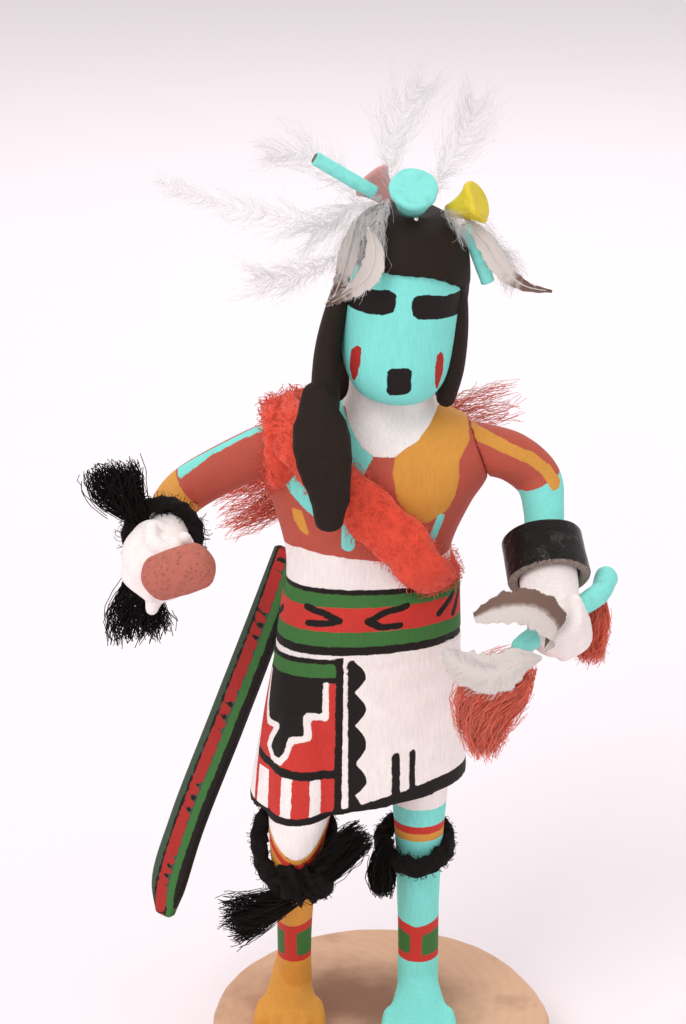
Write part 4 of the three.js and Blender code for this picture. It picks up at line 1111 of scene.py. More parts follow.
def paint_leg(coat, near, z, ground, levels, ankle):
    """Bands under the kilt, and an anklet of red and green with a red point."""
    coat.brush(ground, near)
    for paint, low, high in levels:
        coat.brush(paint, np.minimum(near, band(z, low, high)))
    across, low, high, stem = ankle
    coat.brush("green", np.minimum(near, band(z, low, high)))
    coat.brush("red", np.minimum(near, stroke(across, z, [(-9, high + 1.0), (0, high - 1.2), (9, high + 1.0)], 2.6)))
    coat.brush("red", np.minimum(near, np.minimum(band(across, *stem), band(z, low, high))))
    coat.brush("red", np.minimum(near, band(z, low - 1.4, low + 0.5)))


def carve_body(finish, grain):
    """Kilt, belt, trunk, neck, legs and feet in one skin, and their paint."""
    inner = np.array(KILT[0]) - (0, 0, 0, 2.2, 2.2, 0)
    hollow, rim, top = (
        stack([section], 1, KILT_POWER, WAIST_SLOPE, smooth=False)[0]
        for section in (inner + (3, 0, 0, 0, 0, 0), inner, (99, -3.5, -0.3, 19, 10.6, 6))
    )
    trunk = stack(TRUNK, 120, 2.3, 0.02, around=200)
    for point, out in JOINTS.values():
        trunk = held_back(trunk, point, out)
    shapes = [
        skin([hollow, rim, *stack(KILT, 70, KILT_POWER, WAIST_SLOPE), top]),
        skin(stack(WAIST, 1, 2.2, WAIST_SLOPE, around=200, smooth=False)),
        skin(trunk),
        *leg_shapes(STANDING_LEG),
        *leg_shapes(STEPPING_LEG),
    ]
    body = carved("body", shapes, finish, grain)
    coat = Coats(body.data, "terracotta")
    x, y, z = coat.at.T
    paint_trunk(coat, x, y, z)
    round_way, height = kilt_measure(coat.at)
    paint_belt(coat, round_way, height)
    paint_kilt(coat, round_way, height)
    under = 63.9 + WAIST_SLOPE * (x + 5.6) - z
    within = np.hypot((x + 5.6) / 23.2, (y + 2.6) / 13.4) < 0.97
    legs = np.maximum(under, np.where(within & (height < 67.4), 1.0, -FAR_INSIDE))
    coat.brush("white", legs)
    paint_leg(
        coat, np.minimum(legs, x + 6), z, "turquoise",
        (("white", 60, 90), ("red", 53.5, 55.4), ("ochre", 51.5, 53.5)), (x - 8.2, 18.9, 27.0, (-1.5, 1.3)),
    )
    paint_leg(
        coat, np.minimum(legs, -6 - x), np.where(z > 45, z - 0.16 * (x + 19.6) ** 2, z), "ochre",
        (("white", 54.1, 90), ("red", 50.9, 52.9)), (x + 21.5, 20.4, 31.6, (-1.4, 1.6)),
    )
    coat.dry()
    return body


def head_middle(z):
    return HEAD_MIDDLE + (z - HEAD_HEIGHT) * HEAD_LEAN


def head_rings(sections, over, steps, around):
    """Rings of the leaning head, grown outwards by a depth."""
    table = [(z, head_middle(z), -forward, wide + over, deep + over, 0) for z, wide, deep, forward in sections]
    return stack(table, steps, 2.15, -HEAD_LEAN, around)


def head_frame(x, z):
    """Distance across the face from its middle."""
    return x - HEAD_MIDDLE - (z - HEAD_HEIGHT) * HEAD_LEAN


def carve_mask(finish, grain):
    """The mask with its painted eyes, mouth and cheek marks."""
    mask = carved("mask", [skin(head_rings(MASK, 0.0, 90, 180))], finish, grain)
    coat = Coats(mask.data, "turquoise")
    x, y, z = coat.at.T
    u = head_frame(x, z)
    front = -y - 1.0
    for paint, outline in MASK_MARKS:
        coat.brush(paint, np.minimum(front, patch(u, z, outline)))
    coat.dry()
    return mask


def carve_hair(finish, grain):
    """The hair: a cap with a fringe over the mask, strands beside it, a lock and the long back."""
    cap = head_rings(HAIR, HAIR_DEPTH, 110, 240)
    x, z = cap[..., 0], cap[..., 2]
    u = head_frame(x, z)
    fringe = FRINGE_HEIGHT - np.maximum(u - 3, 0) ** 2 * 0.035 + 0.12 * np.sin(u * 2.3) + 0.1 * np.sin(u * 5.1 + 1)
    inside = np.minimum(FACE_FRONT - cap[..., 1], fringe - (z + HEAD_LEAN * u))
    share = np.clip(inside / 0.7 + 0.5, 0, 1)
    middle = np.stack([head_middle(z), cap[..., 1] * 0 - 1.5, z], -1)
    inward = unit((middle - cap) * (1, 1, 0))
    cap = cap + inward * (share * share * (3 - 2 * share) * CUT_DEPTH)[..., None]
    shapes = [
        skin(cap),
        limb([(4, 5, 186), (2.6, 9.5, 168), (1.4, 12.8, 150), (0.8, 14.6, 134), (0.6, 14.8, 124)],
             [10, 12.8, 13.6, 13, 10.4], [8, 5, 3.6, 3, 2.2], power=2.5, steps=90, around=90),
        limb([(13.6, -3.4, 190), (15.2, -5.2, 178), (14.4, -6, 166), (13.1, -6.4, 158.8)],
             [2.4, 2.5, 2.7, 2.2], [3.6, 4.4, 4.4, 3]),
        limb([(-6, -4, 190), (-9.8, -6, 180), (-12.4, -8.4, 170), (-12.9, -12, 160), (-13.2, -16, 153)],
             [2.2, 2.6, 2.8, 3.2, 3], [3.6, 4.6, 5, 4.4, 3]),
        limb([(-14.6, -15, 162), (-13.9, -18.6, 155), (-12.8, -20.6, 147.5), (-11.9, -21, 141), (-12.1, -21, 136.5)],
             [3.4, 5.9, 5.7, 4.3, 2.9], [3, 4.3, 4.3, 3.6, 2.6], power=2.4, lumps=0.05, seed=4),
        limb([(-12.0, -21, 139.6), (-12.1, -21, 135.4)], [3.9, 3.1], [3.5, 2.8], steps=12, dome=(0.2, 0.7)),
    ]
    return carved("hair", shapes, finish, grain)


# The arms

LEFT_ARM = {
    "line": ((12, 0.5, 146), (21, 0.5, 144.6), (28.4, 0.4, 142.6), (34, 0.2, 137.6), (35, -5.6, 132.6),
             (34.6, -14.8, 126.4), (35.4, -22.6, 120.6)),
    "radii": (6, 5.7, 5.5, 5.2, 4.5, 4.2, 4.2),
    "hand": (36, -26.4, 116.4),
    "forward": (0.08, -0.78, -0.62),
    "side": (0.96, -0.2, 0.2),
    "size": 6.84,
    "thumb": 0.9,
    "finger": 0.26,
    "more": ((((34.9, -16.8, 125.0), (35.4, -21, 121), (36, -26.4, 116.4)), (6.3, 6.3, 5.7)),),
}
RIGHT_ARM = {
    "line": ((-14, 0.5, 147), (-23, 0.8, 145.4), (-34, 1.2, 140.4), (-43.6, 0, 135), (-46.8, -6, 132.6),
             (-47, -14, 131.6), (-46.8, -22, 131)),
    "radii": (6, 5.7, 5.4, 5.2, 4.9, 4.6, 4.6),
    "hand": (-46.6, -28.6, 130),
    "forward": (0, -0.99, -0.08),
    "side": (-0.86, -0.1, 0.5),
    "size": 7.6,
    "thumb": 1.15,
    "finger": 0.21,
    "more": (
        (((-47, -30, 128), (-48.4, -33.8, 124.8), (-49.2, -36.4, 122)), (3.2, 2.4, 1.4)),
        (((-49.6, -24, 132), (-50.4, -29, 131), (-50.0, -33.6, 130)), (5.0, 5.6, 4.6)),
    ),
}


def fist_shapes(arm):
    """A palm, four fingers curled over what the hand holds, a thumb, and what fills the wrist out."""
    centre, size = np.array(arm["hand"], float), arm["size"]
    ahead, side = unit(arm["forward"]), unit(arm["side"])
    down = unit(np.cross(side, ahead))
    shapes = [
        limb([centre - ahead * size * 0.75, centre - ahead * size * 0.1, centre + ahead * size * 0.5],
             np.array([0.62, 0.8, 0.9]) * size, np.array([0.7, 0.88, 0.98]) * size, side=side, steps=30)
    ]
    for i in range(4):
        middle = centre + down * (i - 1.5) * size * 0.44 + ahead * size * 0.28
        line = [middle + side * size * a + ahead * size * b for a, b in ((0.8, -0.3), (0.72, 0.42), (0.05, 0.8))]
        shapes.append(limb(line, size * arm["finger"], size * arm["finger"], side=down, steps=24, around=24))
    start = centre - side * size * 0.45 + down * size * 0.3
    tip = centre + down * size * arm["thumb"] + ahead * size * 0.7
    line = [start, start + (tip - start) * 0.55, tip]
    taper = np.array([0.34, 0.3, 0.2]) * size
    shapes.append(limb(line, taper, taper, side=side, steps=24, around=28))
    for points, radii in arm["more"]:
        shapes.append(limb(points, radii, radii, steps=30, around=40))
    return shapes


def carve_arm(name, arm, joint, finish, grain):
    rows = spread(columns(arm["line"], arm["radii"], arm["radii"]), 120)
    point, out = JOINTS[joint]
    rings = held_back(tube(rows, (0, 1, 0.2), around=56, dome=(0, 0)), point, -np.array(out))
    return carved(name, [skin(rings), *fist_shapes(arm)], finish, grain)


def paint_arms(left, right):
    coat = Coats(left.data, "terracotta")
    x, y, z = coat.at.T
    elbow = np.interp(x, (26, 29.5, 33, 35.1, 38.5, 44), (135.0, 135.9, 137.4, 138.4, 139.6, 141))
    coat.brush("turquoise", np.minimum(elbow - z, x - 24))
    coat.brush("turquoise", np.minimum(np.minimum(x - 31, y - 1.5), 8.0))
    stripe = [(17.5, 150.2), (22, 148.6), (25.2, 147.1), (31.8, 144.0), (35.5, 140.9), (37.4, 138.4)]
    coat.brush("ochre", np.minimum(3.0 - y, stroke(x, z, stripe, 2.3)))
    coat.brush("white", -18.5 - y)
    coat.dry()
    coat = Coats(right.data, "terracotta")
    x, y, z = coat.at.T
    coat.brush("ochre", np.interp(z, (124, 130, 134, 138.6, 144), (-38.4, -39.4, -41.6, -45.4, -49)) - x)
    stripe = [(-22.9, 151.7), (-30.6, 148.6), (-38.0, 144.6), (-44.8, 139.8)]
    coat.brush("turquoise", np.minimum(1.0 - y, stroke(x, z, stripe, 1.5)))
    coat.brush("white", -13.5 - y)
    coat.dry()


# Wool, leather, flowers and feathers

# A tuft is a line, half widths and half thicknesses along it, and the side that it is wide along.
WRIST_TUFTS = (
    (((-51.8, -17, 134.4), (-55.4, -17.6, 138.8), (-57.8, -18, 143.6), (-58.6, -18, 147.6)), (2.2, 4.4, 6.2, 5.8),
     (2, 3, 3.4, 2.8), (1, 0, 0)),
    (((-51, -17.6, 124.4), (-53, -18, 118.6), (-53.8, -18.2, 112.4), (-52.8, -18, 107)), (2.4, 4.6, 6.8, 7.2),
     (2, 3, 3.4, 2.8), (1, 0, 0)),
)
STANDING_TUFTS = (
    (((1.6, -6.6, 50.6), (0.2, -8.2, 47), (-0.2, -8.6, 42.4), (0.4, -8.6, 38)), (2.2, 2.8, 3.2, 2.2),
     (2, 2.2, 2.2, 1.6), (1, 0, 0)),
)
STEPPING_TUFTS = (
    (((-19.6, -21.8, 46.6), (-24.6, -21.4, 43), (-30.4, -20.4, 39.4), (-36, -19.2, 36.6)), (3, 3.6, 5, 6.0),
     (2.6, 2.8, 3.2, 2.6), (0.6, 0, 1)),
    (((-16.6, -21.6, 48.6), (-12, -21, 52.4), (-7.4, -19.4, 57), (-3.6, -18.2, 59.6)), (3, 3.6, 4, 3.2),
     (2.6, 2.6, 2.4, 1.8), (0.6, 0, -1)),
)
BANDOLIER_TAILS = (
    (((-2, 20, 137), (-13, 20.6, 134), (-26, 20.4, 128), (-39, 19.4, 122.5)), (3.4, 5, 7, 7.6), (2.6, 3, 3, 2.2),
     (0, 0, 1)),
    (((2, 20, 137), (12, 20.8, 143), (22, 21, 147), (32, 20, 150)), (3.2, 4, 4.6, 4.6), (2.6, 2.8, 2.6, 2),
     (-0.6, 0, 1)),
    (((2, 20, 135), (9, 20.6, 128), (15, 20, 121)), (3.4, 5, 5.4), (2.6, 2.8, 2.4), (0.7, 0, 0.7)),
)
TAIL_STRANDS = (700, 200, 340)
TASSELS = {
    "tassel_front": (((29.4, -36.4, 110.6), (25.6, -35.6, 106), (22.4, -33.6, 99.8), (21.4, -31, 92),
                      (22.4, -29.6, 84.6)),
                     (4, 6.8, 7.6, 5, 2), (2.6, 3.6, 3.6, 2.8, 1.6), (1, 0, 0)),
    "tassel_back": (((45.6, -17, 116), (46, -17.4, 111.6), (45.2, -18, 106), (44.6, -18.4, 102)),
                    (2.6, 3.2, 3.2, 2.2), (2.4, 2.8, 2.6, 1.8), (1, 0, 0)),
}
# A line, half widths, the side it is wide along, where its brown tip starts, and where its brown edge does.
FEATHERS = {
    "feather_left_inner": (((-3.9, -13.4, 198), (-2.7, -17.4, 194.4), (-3.5, -19.4, 190.4), (-7, -20, 186.8),
                            (-12.6, -19.4, 183.2)),
                           (0.5, 2, 2.7, 2.2, 0.5), (1, 0.3, 0), 0.72, 1.4),
    "feather_left_outer": (((-6.6, -9.6, 198.4), (-8, -14, 193), (-9.4, -16.4, 188.4), (-11.8, -17.2, 182.6)),
                           (0.5, 2.2, 1.8, 0.4), (1, 0.4, 0), 0.6, 1.4),
    "feather_right": (((16.8, -4.6, 197.6), (20.8, -7.4, 193.6), (24.6, -9, 188), (29.2, -9.8, 184.6),
                       (35, -10, 183.4)),
                      (0.6, 2.2, 2.2, 1.2, 0.3), (0.5, 0, 0.8), 0.55, 1.4),
    "hand_feather_upper": (((33.4, -38.6, 113.4), (35.4, -39.6, 118.6), (30.6, -40.4, 123.6), (24, -39.6, 123.4),
                            (18.4, -37.6, 120.4)),
                           (0.6, 3.6, 4.2, 3.4, 1.4), (0.3, 0.2, 0.9), 1.4, -0.15),
    "hand_feather_lower": (((32.4, -40.6, 112.6), (27.6, -43, 112.6), (22, -42.6, 109.6), (15.6, -40, 110.4),
                            (12, -38.4, 113.6)),
                           (0.6, 3.4, 4.6, 3.8, 0.8), (-0.2, 0.3, 1), 1.3, 1.2),
}
# A plume is a line, half widths along it, and the side that its barbs start towards.
PLUMES = {
    "plume_up_left": (
        ((1.6, 1.4, 200.6), (1.2, 3, 210), (3.4, 3.4, 219), (8, 2.6, 225.6)), (1, 5.6, 7, 2.4), (1, 0, 0)),
    "plume_up_right": (
        ((9, 1.6, 200), (13.4, 5.6, 207), (17.6, 7.6, 214), (19.4, 7.2, 221)), (1, 5.4, 6, 2), (1, 0, 0.2)),
    "plume_left_high": (
        ((-4.4, 0.4, 198.4), (-10, 2.2, 205), (-18, 3, 210), (-26, 2.6, 210)), (1, 4.6, 4.8, 1.6), (0.4, 0, 1)),
    "plume_left_long": (
        ((-7.4, -1.6, 195.2), (-20, -3.4, 197.4), (-34, -4, 200.4), (-49, -3.6, 206)), (1, 4.4, 3.4, 1.2), (0, 0, 1)),
    "plume_left_low": (
        ((-8.6, -4, 190.4), (-15.6, -7, 187.4), (-22.4, -8.4, 185.6), (-28, -8.6, 186)), (1, 4.2, 4.4, 1.4),
        (0.3, 0, 1)),
    "plume_right": (
        ((18.8, -1, 191.8), (22.6, -1.4, 190.6), (25.6, -1.6, 187), (27.4, -1.6, 183)), (0.8, 3, 2.8, 1),
        (0.6, 0, 0.8)),
}
# Where loose down lies: its line, how far its barbs reach, and how many there are.
FLUFF = (
    (((-1, -8, 203.5), (-4.5, -10, 200.5), (-6.5, -12, 196), (-7.5, -14.5, 191)), 5.0, 420),
    (((0.5, -10.5, 203.5), (-1.5, -12.5, 200), (-2.6, -15, 196.5)), 3.6, 240),
    (((-6, -4, 201), (-11, -6, 198), (-16, -7, 195)), 6.0, 260),
    (((12.0, -6.5, 200.2), (14.4, -8.2, 198.4), (15.6, -8.4, 196.6)), 2.6, 200),
    (((18.5, 0, 197), (21.5, -2.5, 192.5), (24.5, -4, 188.5)), 4.2, 300),
)


def tie(name, node, slot, ring, tufts, finish, count, frizz, wave, heart=0.6, length=0.6, fine=1.0):
    """A woollen tie: a fuzzy ring and its tufts, each a dense heart inside loose strands."""
    sizes = bpy.context.scene.doll_sizes
    hearts = [ring] if ring else []
    guides = []
    for number, (points, wide, thick, side) in enumerate(tufts):
        wide, thick = np.array(wide, float), np.array(thick, float)
        reach = max(2, int(len(points) * heart + 0.5))
        hearts.append(
            limb(points[:reach], wide[:reach] * 0.5, thick[:reach] * 0.55, side=side, steps=30, around=24,
                 lumps=0.5, seed=number + 3)
        )
        guides.append(hank(points, wide, thick, side, count, 8, number + 11, twist=1.6, hollow=0.0))
        guides.append(
            hank(points, wide * 1.3, thick * 1.7, side, count // 7, 9, number + 41, start=(0, 0.6), end=(0.8, 1.0))
        )
    core = made(name, together(hearts), finish)
    stands_for(core, slot, node)
    stands_for(fuzz(core, name + "_fuzz", finish, lean=1.3, length=length, count=0.7), slot)
    stands_for(strands(name + "_strands", guides, finish, sizes.yarn_strand * fine, frizz, wave), slot)


def wool_ring(middle, x, y, z, wide, thick):
    """A lumpy ring round a middle, from the cosine and sine reach of each axis."""
    angle = circle(12)
    cos, sin = np.cos(angle), np.sin(angle)
    points = np.column_stack([m + a[0] * cos + a[1] * sin for m, a in zip(middle, (x, y, z))])
    return loop(points, middle, wide, thick, steps=90, around=28, lumps=0.2)


def vane(name, shape, quill):
    """A feather: a thin cupped vane on a round quill."""
    points, wide, side, tip_start, edge_dark = shape
    rows = spread(columns(points, wide, 0.1), 90)
    flat, across, _ = crossways(rows[:, :3], side)
    share = np.linspace(-1, 1, 21)
    rng = np.random.default_rng(len(name))
    waves = np.sin(np.linspace(0, 60, len(rows)) + rng.uniform(0, 6))
    ragged = 1 + 0.07 * waves * np.linspace(0.3, 1, len(rows))
    rings, along, cross_share = [], [], []
    for i, row in enumerate(rows):
        out = flat[i] * (row[3] * ragged[i])
        cup = across[i] * row[3] * 0.22
        top = [row[:3] + out * s + cup * s * s + across[i] * 0.06 for s in share]
        under = [row[:3] + out * s + cup * s * s - across[i] * 0.06 for s in share[::-1]]
        rings.append(top + under)
        along += [i / (len(rows) - 1)] * len(share) * 2
        cross_share += list(share) + list(share[::-1])
    finish = vane_finish("Vane " + name, tip_start, edge_dark)
    piece = made(name + "_vane", skin(rings), finish)
    for key, values in (("along", along + [0.0, 1.0]), ("across", cross_share + [0.0, 0.0])):
        layer(piece.data, key, np.array(values))
    stands_for(piece, "barred_feather", name)
    line = rows[:, :3][::6] + across[::6] * 0.1
    taper = np.linspace(0.32, 0.1, len(line))
    shaft = made(name + "_quill", limb(line, taper, taper, steps=60, around=12), quill)
    stands_for(shaft, "barred_feather")


def needed(*names):
    for name in names:
        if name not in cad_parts:
            raise RuntimeError("the frame has no " + name)


# Operators

# Where the photograph was taken from, as worked out from it.
CAMERA_PLACE = (-0.0091, -0.519, 0.340)
CAMERA_TILT = 69.1
CAMERA_LENS = 87.89


class PieceOperator:
    """What every operator here shares."""

    bl_options = {"REGISTER", "UNDO"}

    def execute(self, context):
        self.build(context.scene.doll_sizes)
        return {"FINISHED"}


class DOLL_OT_log_slice(PieceOperator, bpy.types.Operator):
    """Adds the slice of a log that the doll stands on"""

    bl_idname = "doll.log_slice"
    bl_label = "Log slice"

    def build(self, sizes):
        needed("base")
        angle = circle(220)
        outline = 1 + 0.014 * np.cos(2 * angle + 3) + 0.008 * np.cos(3 * angle + 2) + 0.004 * np.cos(7 * angle)
        outline += 0.004 * np.cos(5 * angle + 1) + 0.0015 * np.sin(23 * angle) + 0.001 * np.sin(41 * angle + 1)
        rings = []
        profile = [(0, 30), (0, 8), (0, 0.7), (0.25, 0.2), (0.7, 0)] + [(z, 0) for z in np.linspace(1.4, 10.4, 10)]
        profile += [(11.0, 0.1), (11.5, 0.45), (11.85, 0.9), (12, 1.4), (12, 8), (12, 30)]
        for z, inset in profile:
            radius = (SLICE_RADIUS - inset) * outline
            rings.append(
                np.column_stack([radius * np.cos(angle), radius * np.sin(angle), np.full(len(angle), z - SLICE_TOP)])
            )
        stands_for(made("log_slice", skin(rings), log_finish()), "bare_wood", "base")


class DOLL_OT_body(PieceOperator, bpy.types.Operator):
    """Carves and paints the kilt, belt, trunk, legs and feet"""

    bl_idname = "doll.body"
    bl_label = "Body"

    def build(self, sizes):
        needed("figure")
        finish = painted("Painted wood", PAINTS, "terracotta")
        stands_for(carve_body(finish, sizes.body_grain), "painted_wood", "figure")


class DOLL_OT_head(PieceOperator, bpy.types.Operator):
    """Carves and paints the mask and the hair"""

    bl_idname = "doll.head"
    bl_label = "Head"

    def build(self, sizes):
        finish = painted(
            "Painted mask", ("red", "black"), "turquoise", grain=(1.6, 1.6, 0.12), tints={"red": "cheek"}
        )
        stands_for(carve_mask(finish, sizes.limb_grain), "painted_wood")
        hair = painted("Painted hair", (), "hair", grain=(1.6, 1.6, 0.15), gloss=0.72, shine=0.18, streak=0.9)
        stands_for(carve_hair(hair, sizes.body_grain), "painted_wood")


class DOLL_OT_arms(PieceOperator, bpy.types.Operator):
    """Carves and paints the two arms"""

    bl_idname = "doll.arms"
    bl_label = "Arms"

    def build(self, sizes):
        needed("arm_left", "arm_right")
        finish = painted("Painted arms", ("white", "turquoise", "ochre"), "terracotta", grain=(0.4, 1.0, 1.0))
        left = carve_arm("arm_left_carved", LEFT_ARM, "left", finish, sizes.limb_grain)
        right = carve_arm("arm_right_carved", RIGHT_ARM, "right", finish, sizes.limb_grain)
        paint_arms(left, right)
        stands_for(left, "painted_wood", "arm_left")
        stands_for(right, "painted_wood", "arm_right")


class DOLL_OT_sash_end(PieceOperator, bpy.types.Operator):
    """Adds the painted board of the sash"""

    bl_idname = "doll.sash_end"
    bl_label = "Sash end"

    def build(self, sizes):
        needed("sash_end")
        points = (
            (-21.4, 5.4, 117.6), (-26.8, 6.2, 101), (-36.2, 6.8, 75), (-46, 6.4, 48.6), (-50.8, 5.6, 32.4),
            (-51.6, 5.4, 25.4),
        )
        wide = np.array([0.8, 0.94, 1, 1, 0.96, 0.5]) * 4.75
        side = (0.8, -0.6, 0)
        rows = spread(columns(points, wide, 1.3), 170)
        # The sash's red takes the darker cheek red: painted shade, as the sash hangs in shade.
        finish = painted("Painted sash", ("red", "green", "black"), "grey_green", wobble=0.8, tints={"red": "cheek"})
        piece = made("sash_end_carved", skin(tube(rows, side, power=5.0, around=72, dome=(0.6, 0.6))), finish)
        coat = Coats(piece.data, "grey_green")
        flat, _, _ = crossways(rows[:, :3], side)
        level = np.interp(coat.at[:, 2], rows[::-1, 2], np.arange(len(rows))[::-1])
        near = level.round().astype(int)
        across = np.sum((coat.at - rows[near, :3]) * flat[near], axis=1)
        run = level / len(rows) * SASH_LENGTH
        coat.brush("red", band(across, -2.3, 1.0))
        marks = 0.62 - np.abs(np.mod(run - across * 2.2, 3.0) - 1.5) - 1.1 * np.sin(run * 0.16) ** 2
        coat.brush("black", np.minimum(band(across, -1.6, 0.3), marks))
        coat.brush("black", band(across, -2.75, -2.25))
        coat.brush("green", band(across, 1.15, 3.3))
        coat.brush("black", np.maximum(across - 3.2, band(across, 0.85, 1.2)))
        coat.dry()
        stands_for(piece, "painted_wood", "sash_end")


class DOLL_OT_rattle(PieceOperator, bpy.types.Operator):
    """Adds the rattle in the right hand"""

    bl_idname = "doll.rattle"
    bl_label = "Rattle"

    def build(self, sizes):
        needed("rattle")
        axis = unit((0.84, -0.3, 0.4))
        centre = np.array(RIGHT_ARM["hand"]) + (3.4, -10.8, 1.6)
        half = 8.5 - 4.9 * 0.8  # half the length without its domed end
        line = [centre + axis * d for d in (-half, 0, half)]
        shape = limb(line, (4.7, 4.95, 4.7), (4.45, 4.65, 4.45), side=(0, -0.5, 1), power=2.4, steps=60, around=72,
                     dome=(0.8, 0.8), lumps=0.02)
        stands_for(made("rattle_clay", shape, clay_finish()), "clay_paint", "rattle")


class DOLL_OT_bow(PieceOperator, bpy.types.Operator):
    """Adds the turquoise rod in the left hand"""

    bl_idname = "doll.bow"
    bl_label = "Bow"

    def build(self, sizes):
        needed("bow")
        line = ((48.4, -14, 119.6), (46.6, -18.4, 118.2), (41, -24, 116.6), (33.6, -30.4, 114.6), (28.6, -35, 112.6))
        shape = limb(line, (2.9, 2.5, 2.3, 2.3, 2.3), (2.5, 2.3, 2.3, 2.3, 2.1), side=(0, 0, 1), steps=80,
                     lumps=0.03)
        stands_for(made("bow_rod", shape, plain_paint("Turquoise rod", "turquoise")), "turquoise_paint", "bow")


class DOLL_OT_cuff(PieceOperator, bpy.types.Operator):
    """Adds the leather cuff on the left forearm"""

    bl_idname = "doll.cuff"
    bl_label = "Cuff"

    def build(self, sizes):
        needed("cuff")
        middle, axis = np.array((34.8, -16.4, 125.2)), unit((0.12, -0.76, -0.63))
        side = unit(np.cross(axis, (0, 0, 1)))
        up = np.cross(axis, side)
        profile = []
        length, inner, outer = 10.5, 6.8, 8.8
        for z in np.linspace(0.5, length - 0.5, 24):
            profile.append((z, outer + 0.25 * (z / length) ** 2))
        edge = [
            (length - 0.2, outer + 0.1), (length + 0.05, outer - 0.5),
            (length + 0.05, inner + 0.6), (length - 0.3, inner + 0.1),
        ]
        back = [(z, inner) for z in np.linspace(length - 1, 1, 12)]
        start = [(0.2, inner + 0.1), (0.0, inner + 0.5), (0.0, outer - 0.5), (0.2, outer - 0.1)]
        rings = []
        angle = circle(120)
        for z, radius in profile + edge + back + start:
            # The strip is bent by hand, so the ring bulges to one side and waves a little.
            bent = radius * (1 + 0.02 * np.cos(2 * angle + 1) + 0.008 * np.sin(5 * angle + z * 0.3))
            place = middle + axis * (z - length / 2)
            rings.append(place + bent[:, None] * (np.cos(angle)[:, None] * side + np.sin(angle)[:, None] * up))
        piece = made("cuff_leather", skin(rings, closed=True), leather_finish())
        at = millimetres(piece.data)
        along = (at - middle) @ axis + length / 2
        out = np.linalg.norm(at - middle - ((at - middle) @ axis)[:, None] * axis, axis=1)
        raw = np.maximum(np.maximum(along - length + 0.35, 0.2 - along), inner + 0.9 - out)
        layer(piece.data, "raw", raw)
        stands_for(piece, "black_leather", "cuff")


class DOLL_OT_bandolier(PieceOperator, bpy.types.Operator):
    """Adds the red wool over the shoulder and across the chest"""

    bl_idname = "doll.bandolier"
    bl_label = "Bandolier"

    def build(self, sizes):
        needed("bandolier")
        finish = wool_finish("Red wool", "red_wool", 0.9)
        off, front = 1.38, -13.68  # how far the wool's middle is off the body, and its y on the chest
        points = (
            (-22, 1, 153.6), (-20.6, -8, 151.4), (-13.4, front - 0.2, 144.8), (-3.6, front - 0.4, 135),
            (5, front - 0.2, 126), (10.4, -11.2 - off, 119.6), (13.8, -7.2, 116.8), (14.2, -0.5, 117.2),
            (12.8, 7, 119.4), (8, 12.4 + off, 126), (-2, 17.4 + off, 135), (-11, 15 + off, 144), (-18.6, 9, 151.2),
        )
        across = loop(
            points, (-1, 0, 134), (4.9, 5.2, 5.6, 5.9, 5.7, 5.2, 3.2, 2.4, 2.4, 3.4, 4.4, 4.6, 4.7),
            (2.3,) * 5 + (2, 1.5, 1.2, 1.2, 1.6, 2.2, 2.3, 2.3), steps=180, around=32, lumps=0.1, seed=9,
        )
        angle = circle(10)
        reach = np.column_stack([-0.6 * np.sin(angle), 6.4 * np.cos(angle), 6.6 * np.sin(angle)])
        around = np.array((-22.2, 0.8, 145)) + reach + unit(reach * (0, 1, 1)) * 2.3
        armhole = loop(around, (-22.2, 0.8, 145), 3.9, 2.1, steps=80, around=32, lumps=0.1, seed=5)
        knot = limb([(-4, 20, 137.4), (0, 20.6, 136), (4, 20.4, 135)], 4.4, 3.4, steps=20, around=30, lumps=0.5)
        hearts = [across, armhole, knot]
        guides = []
        for number, (line, wide, thick, side) in enumerate(BANDOLIER_TAILS):
            wide, thick = np.array(wide, float), np.array(thick, float)
            hearts.append(
                limb(line[:2], wide[:2] * 0.4, thick[:2] * 0.5, side=side, steps=20, around=24, lumps=0.5,
                     seed=number + 3)
            )
            count = TAIL_STRANDS[number]
            guides.append(hank(line, wide * 1.1, thick, side, count, 8, number + 21, end=(0.45, 1.0), twist=1.2))
        core = made("bandolier_wool", together(hearts), finish)
        stands_for(core, "red_yarn", "bandolier")
        stands_for(fuzz(core, "bandolier_fuzz", finish, lean=1.35), "red_yarn")
        # The loose strands take the lighter copy of the wool: painted light.
        loose = wool_finish("Loose red wool", "loose_wool", 1.0, 0.5)
        stands_for(strands("bandolier_strands", guides, loose, sizes.yarn_strand * 0.6, 2.2, 3.2), "red_yarn")


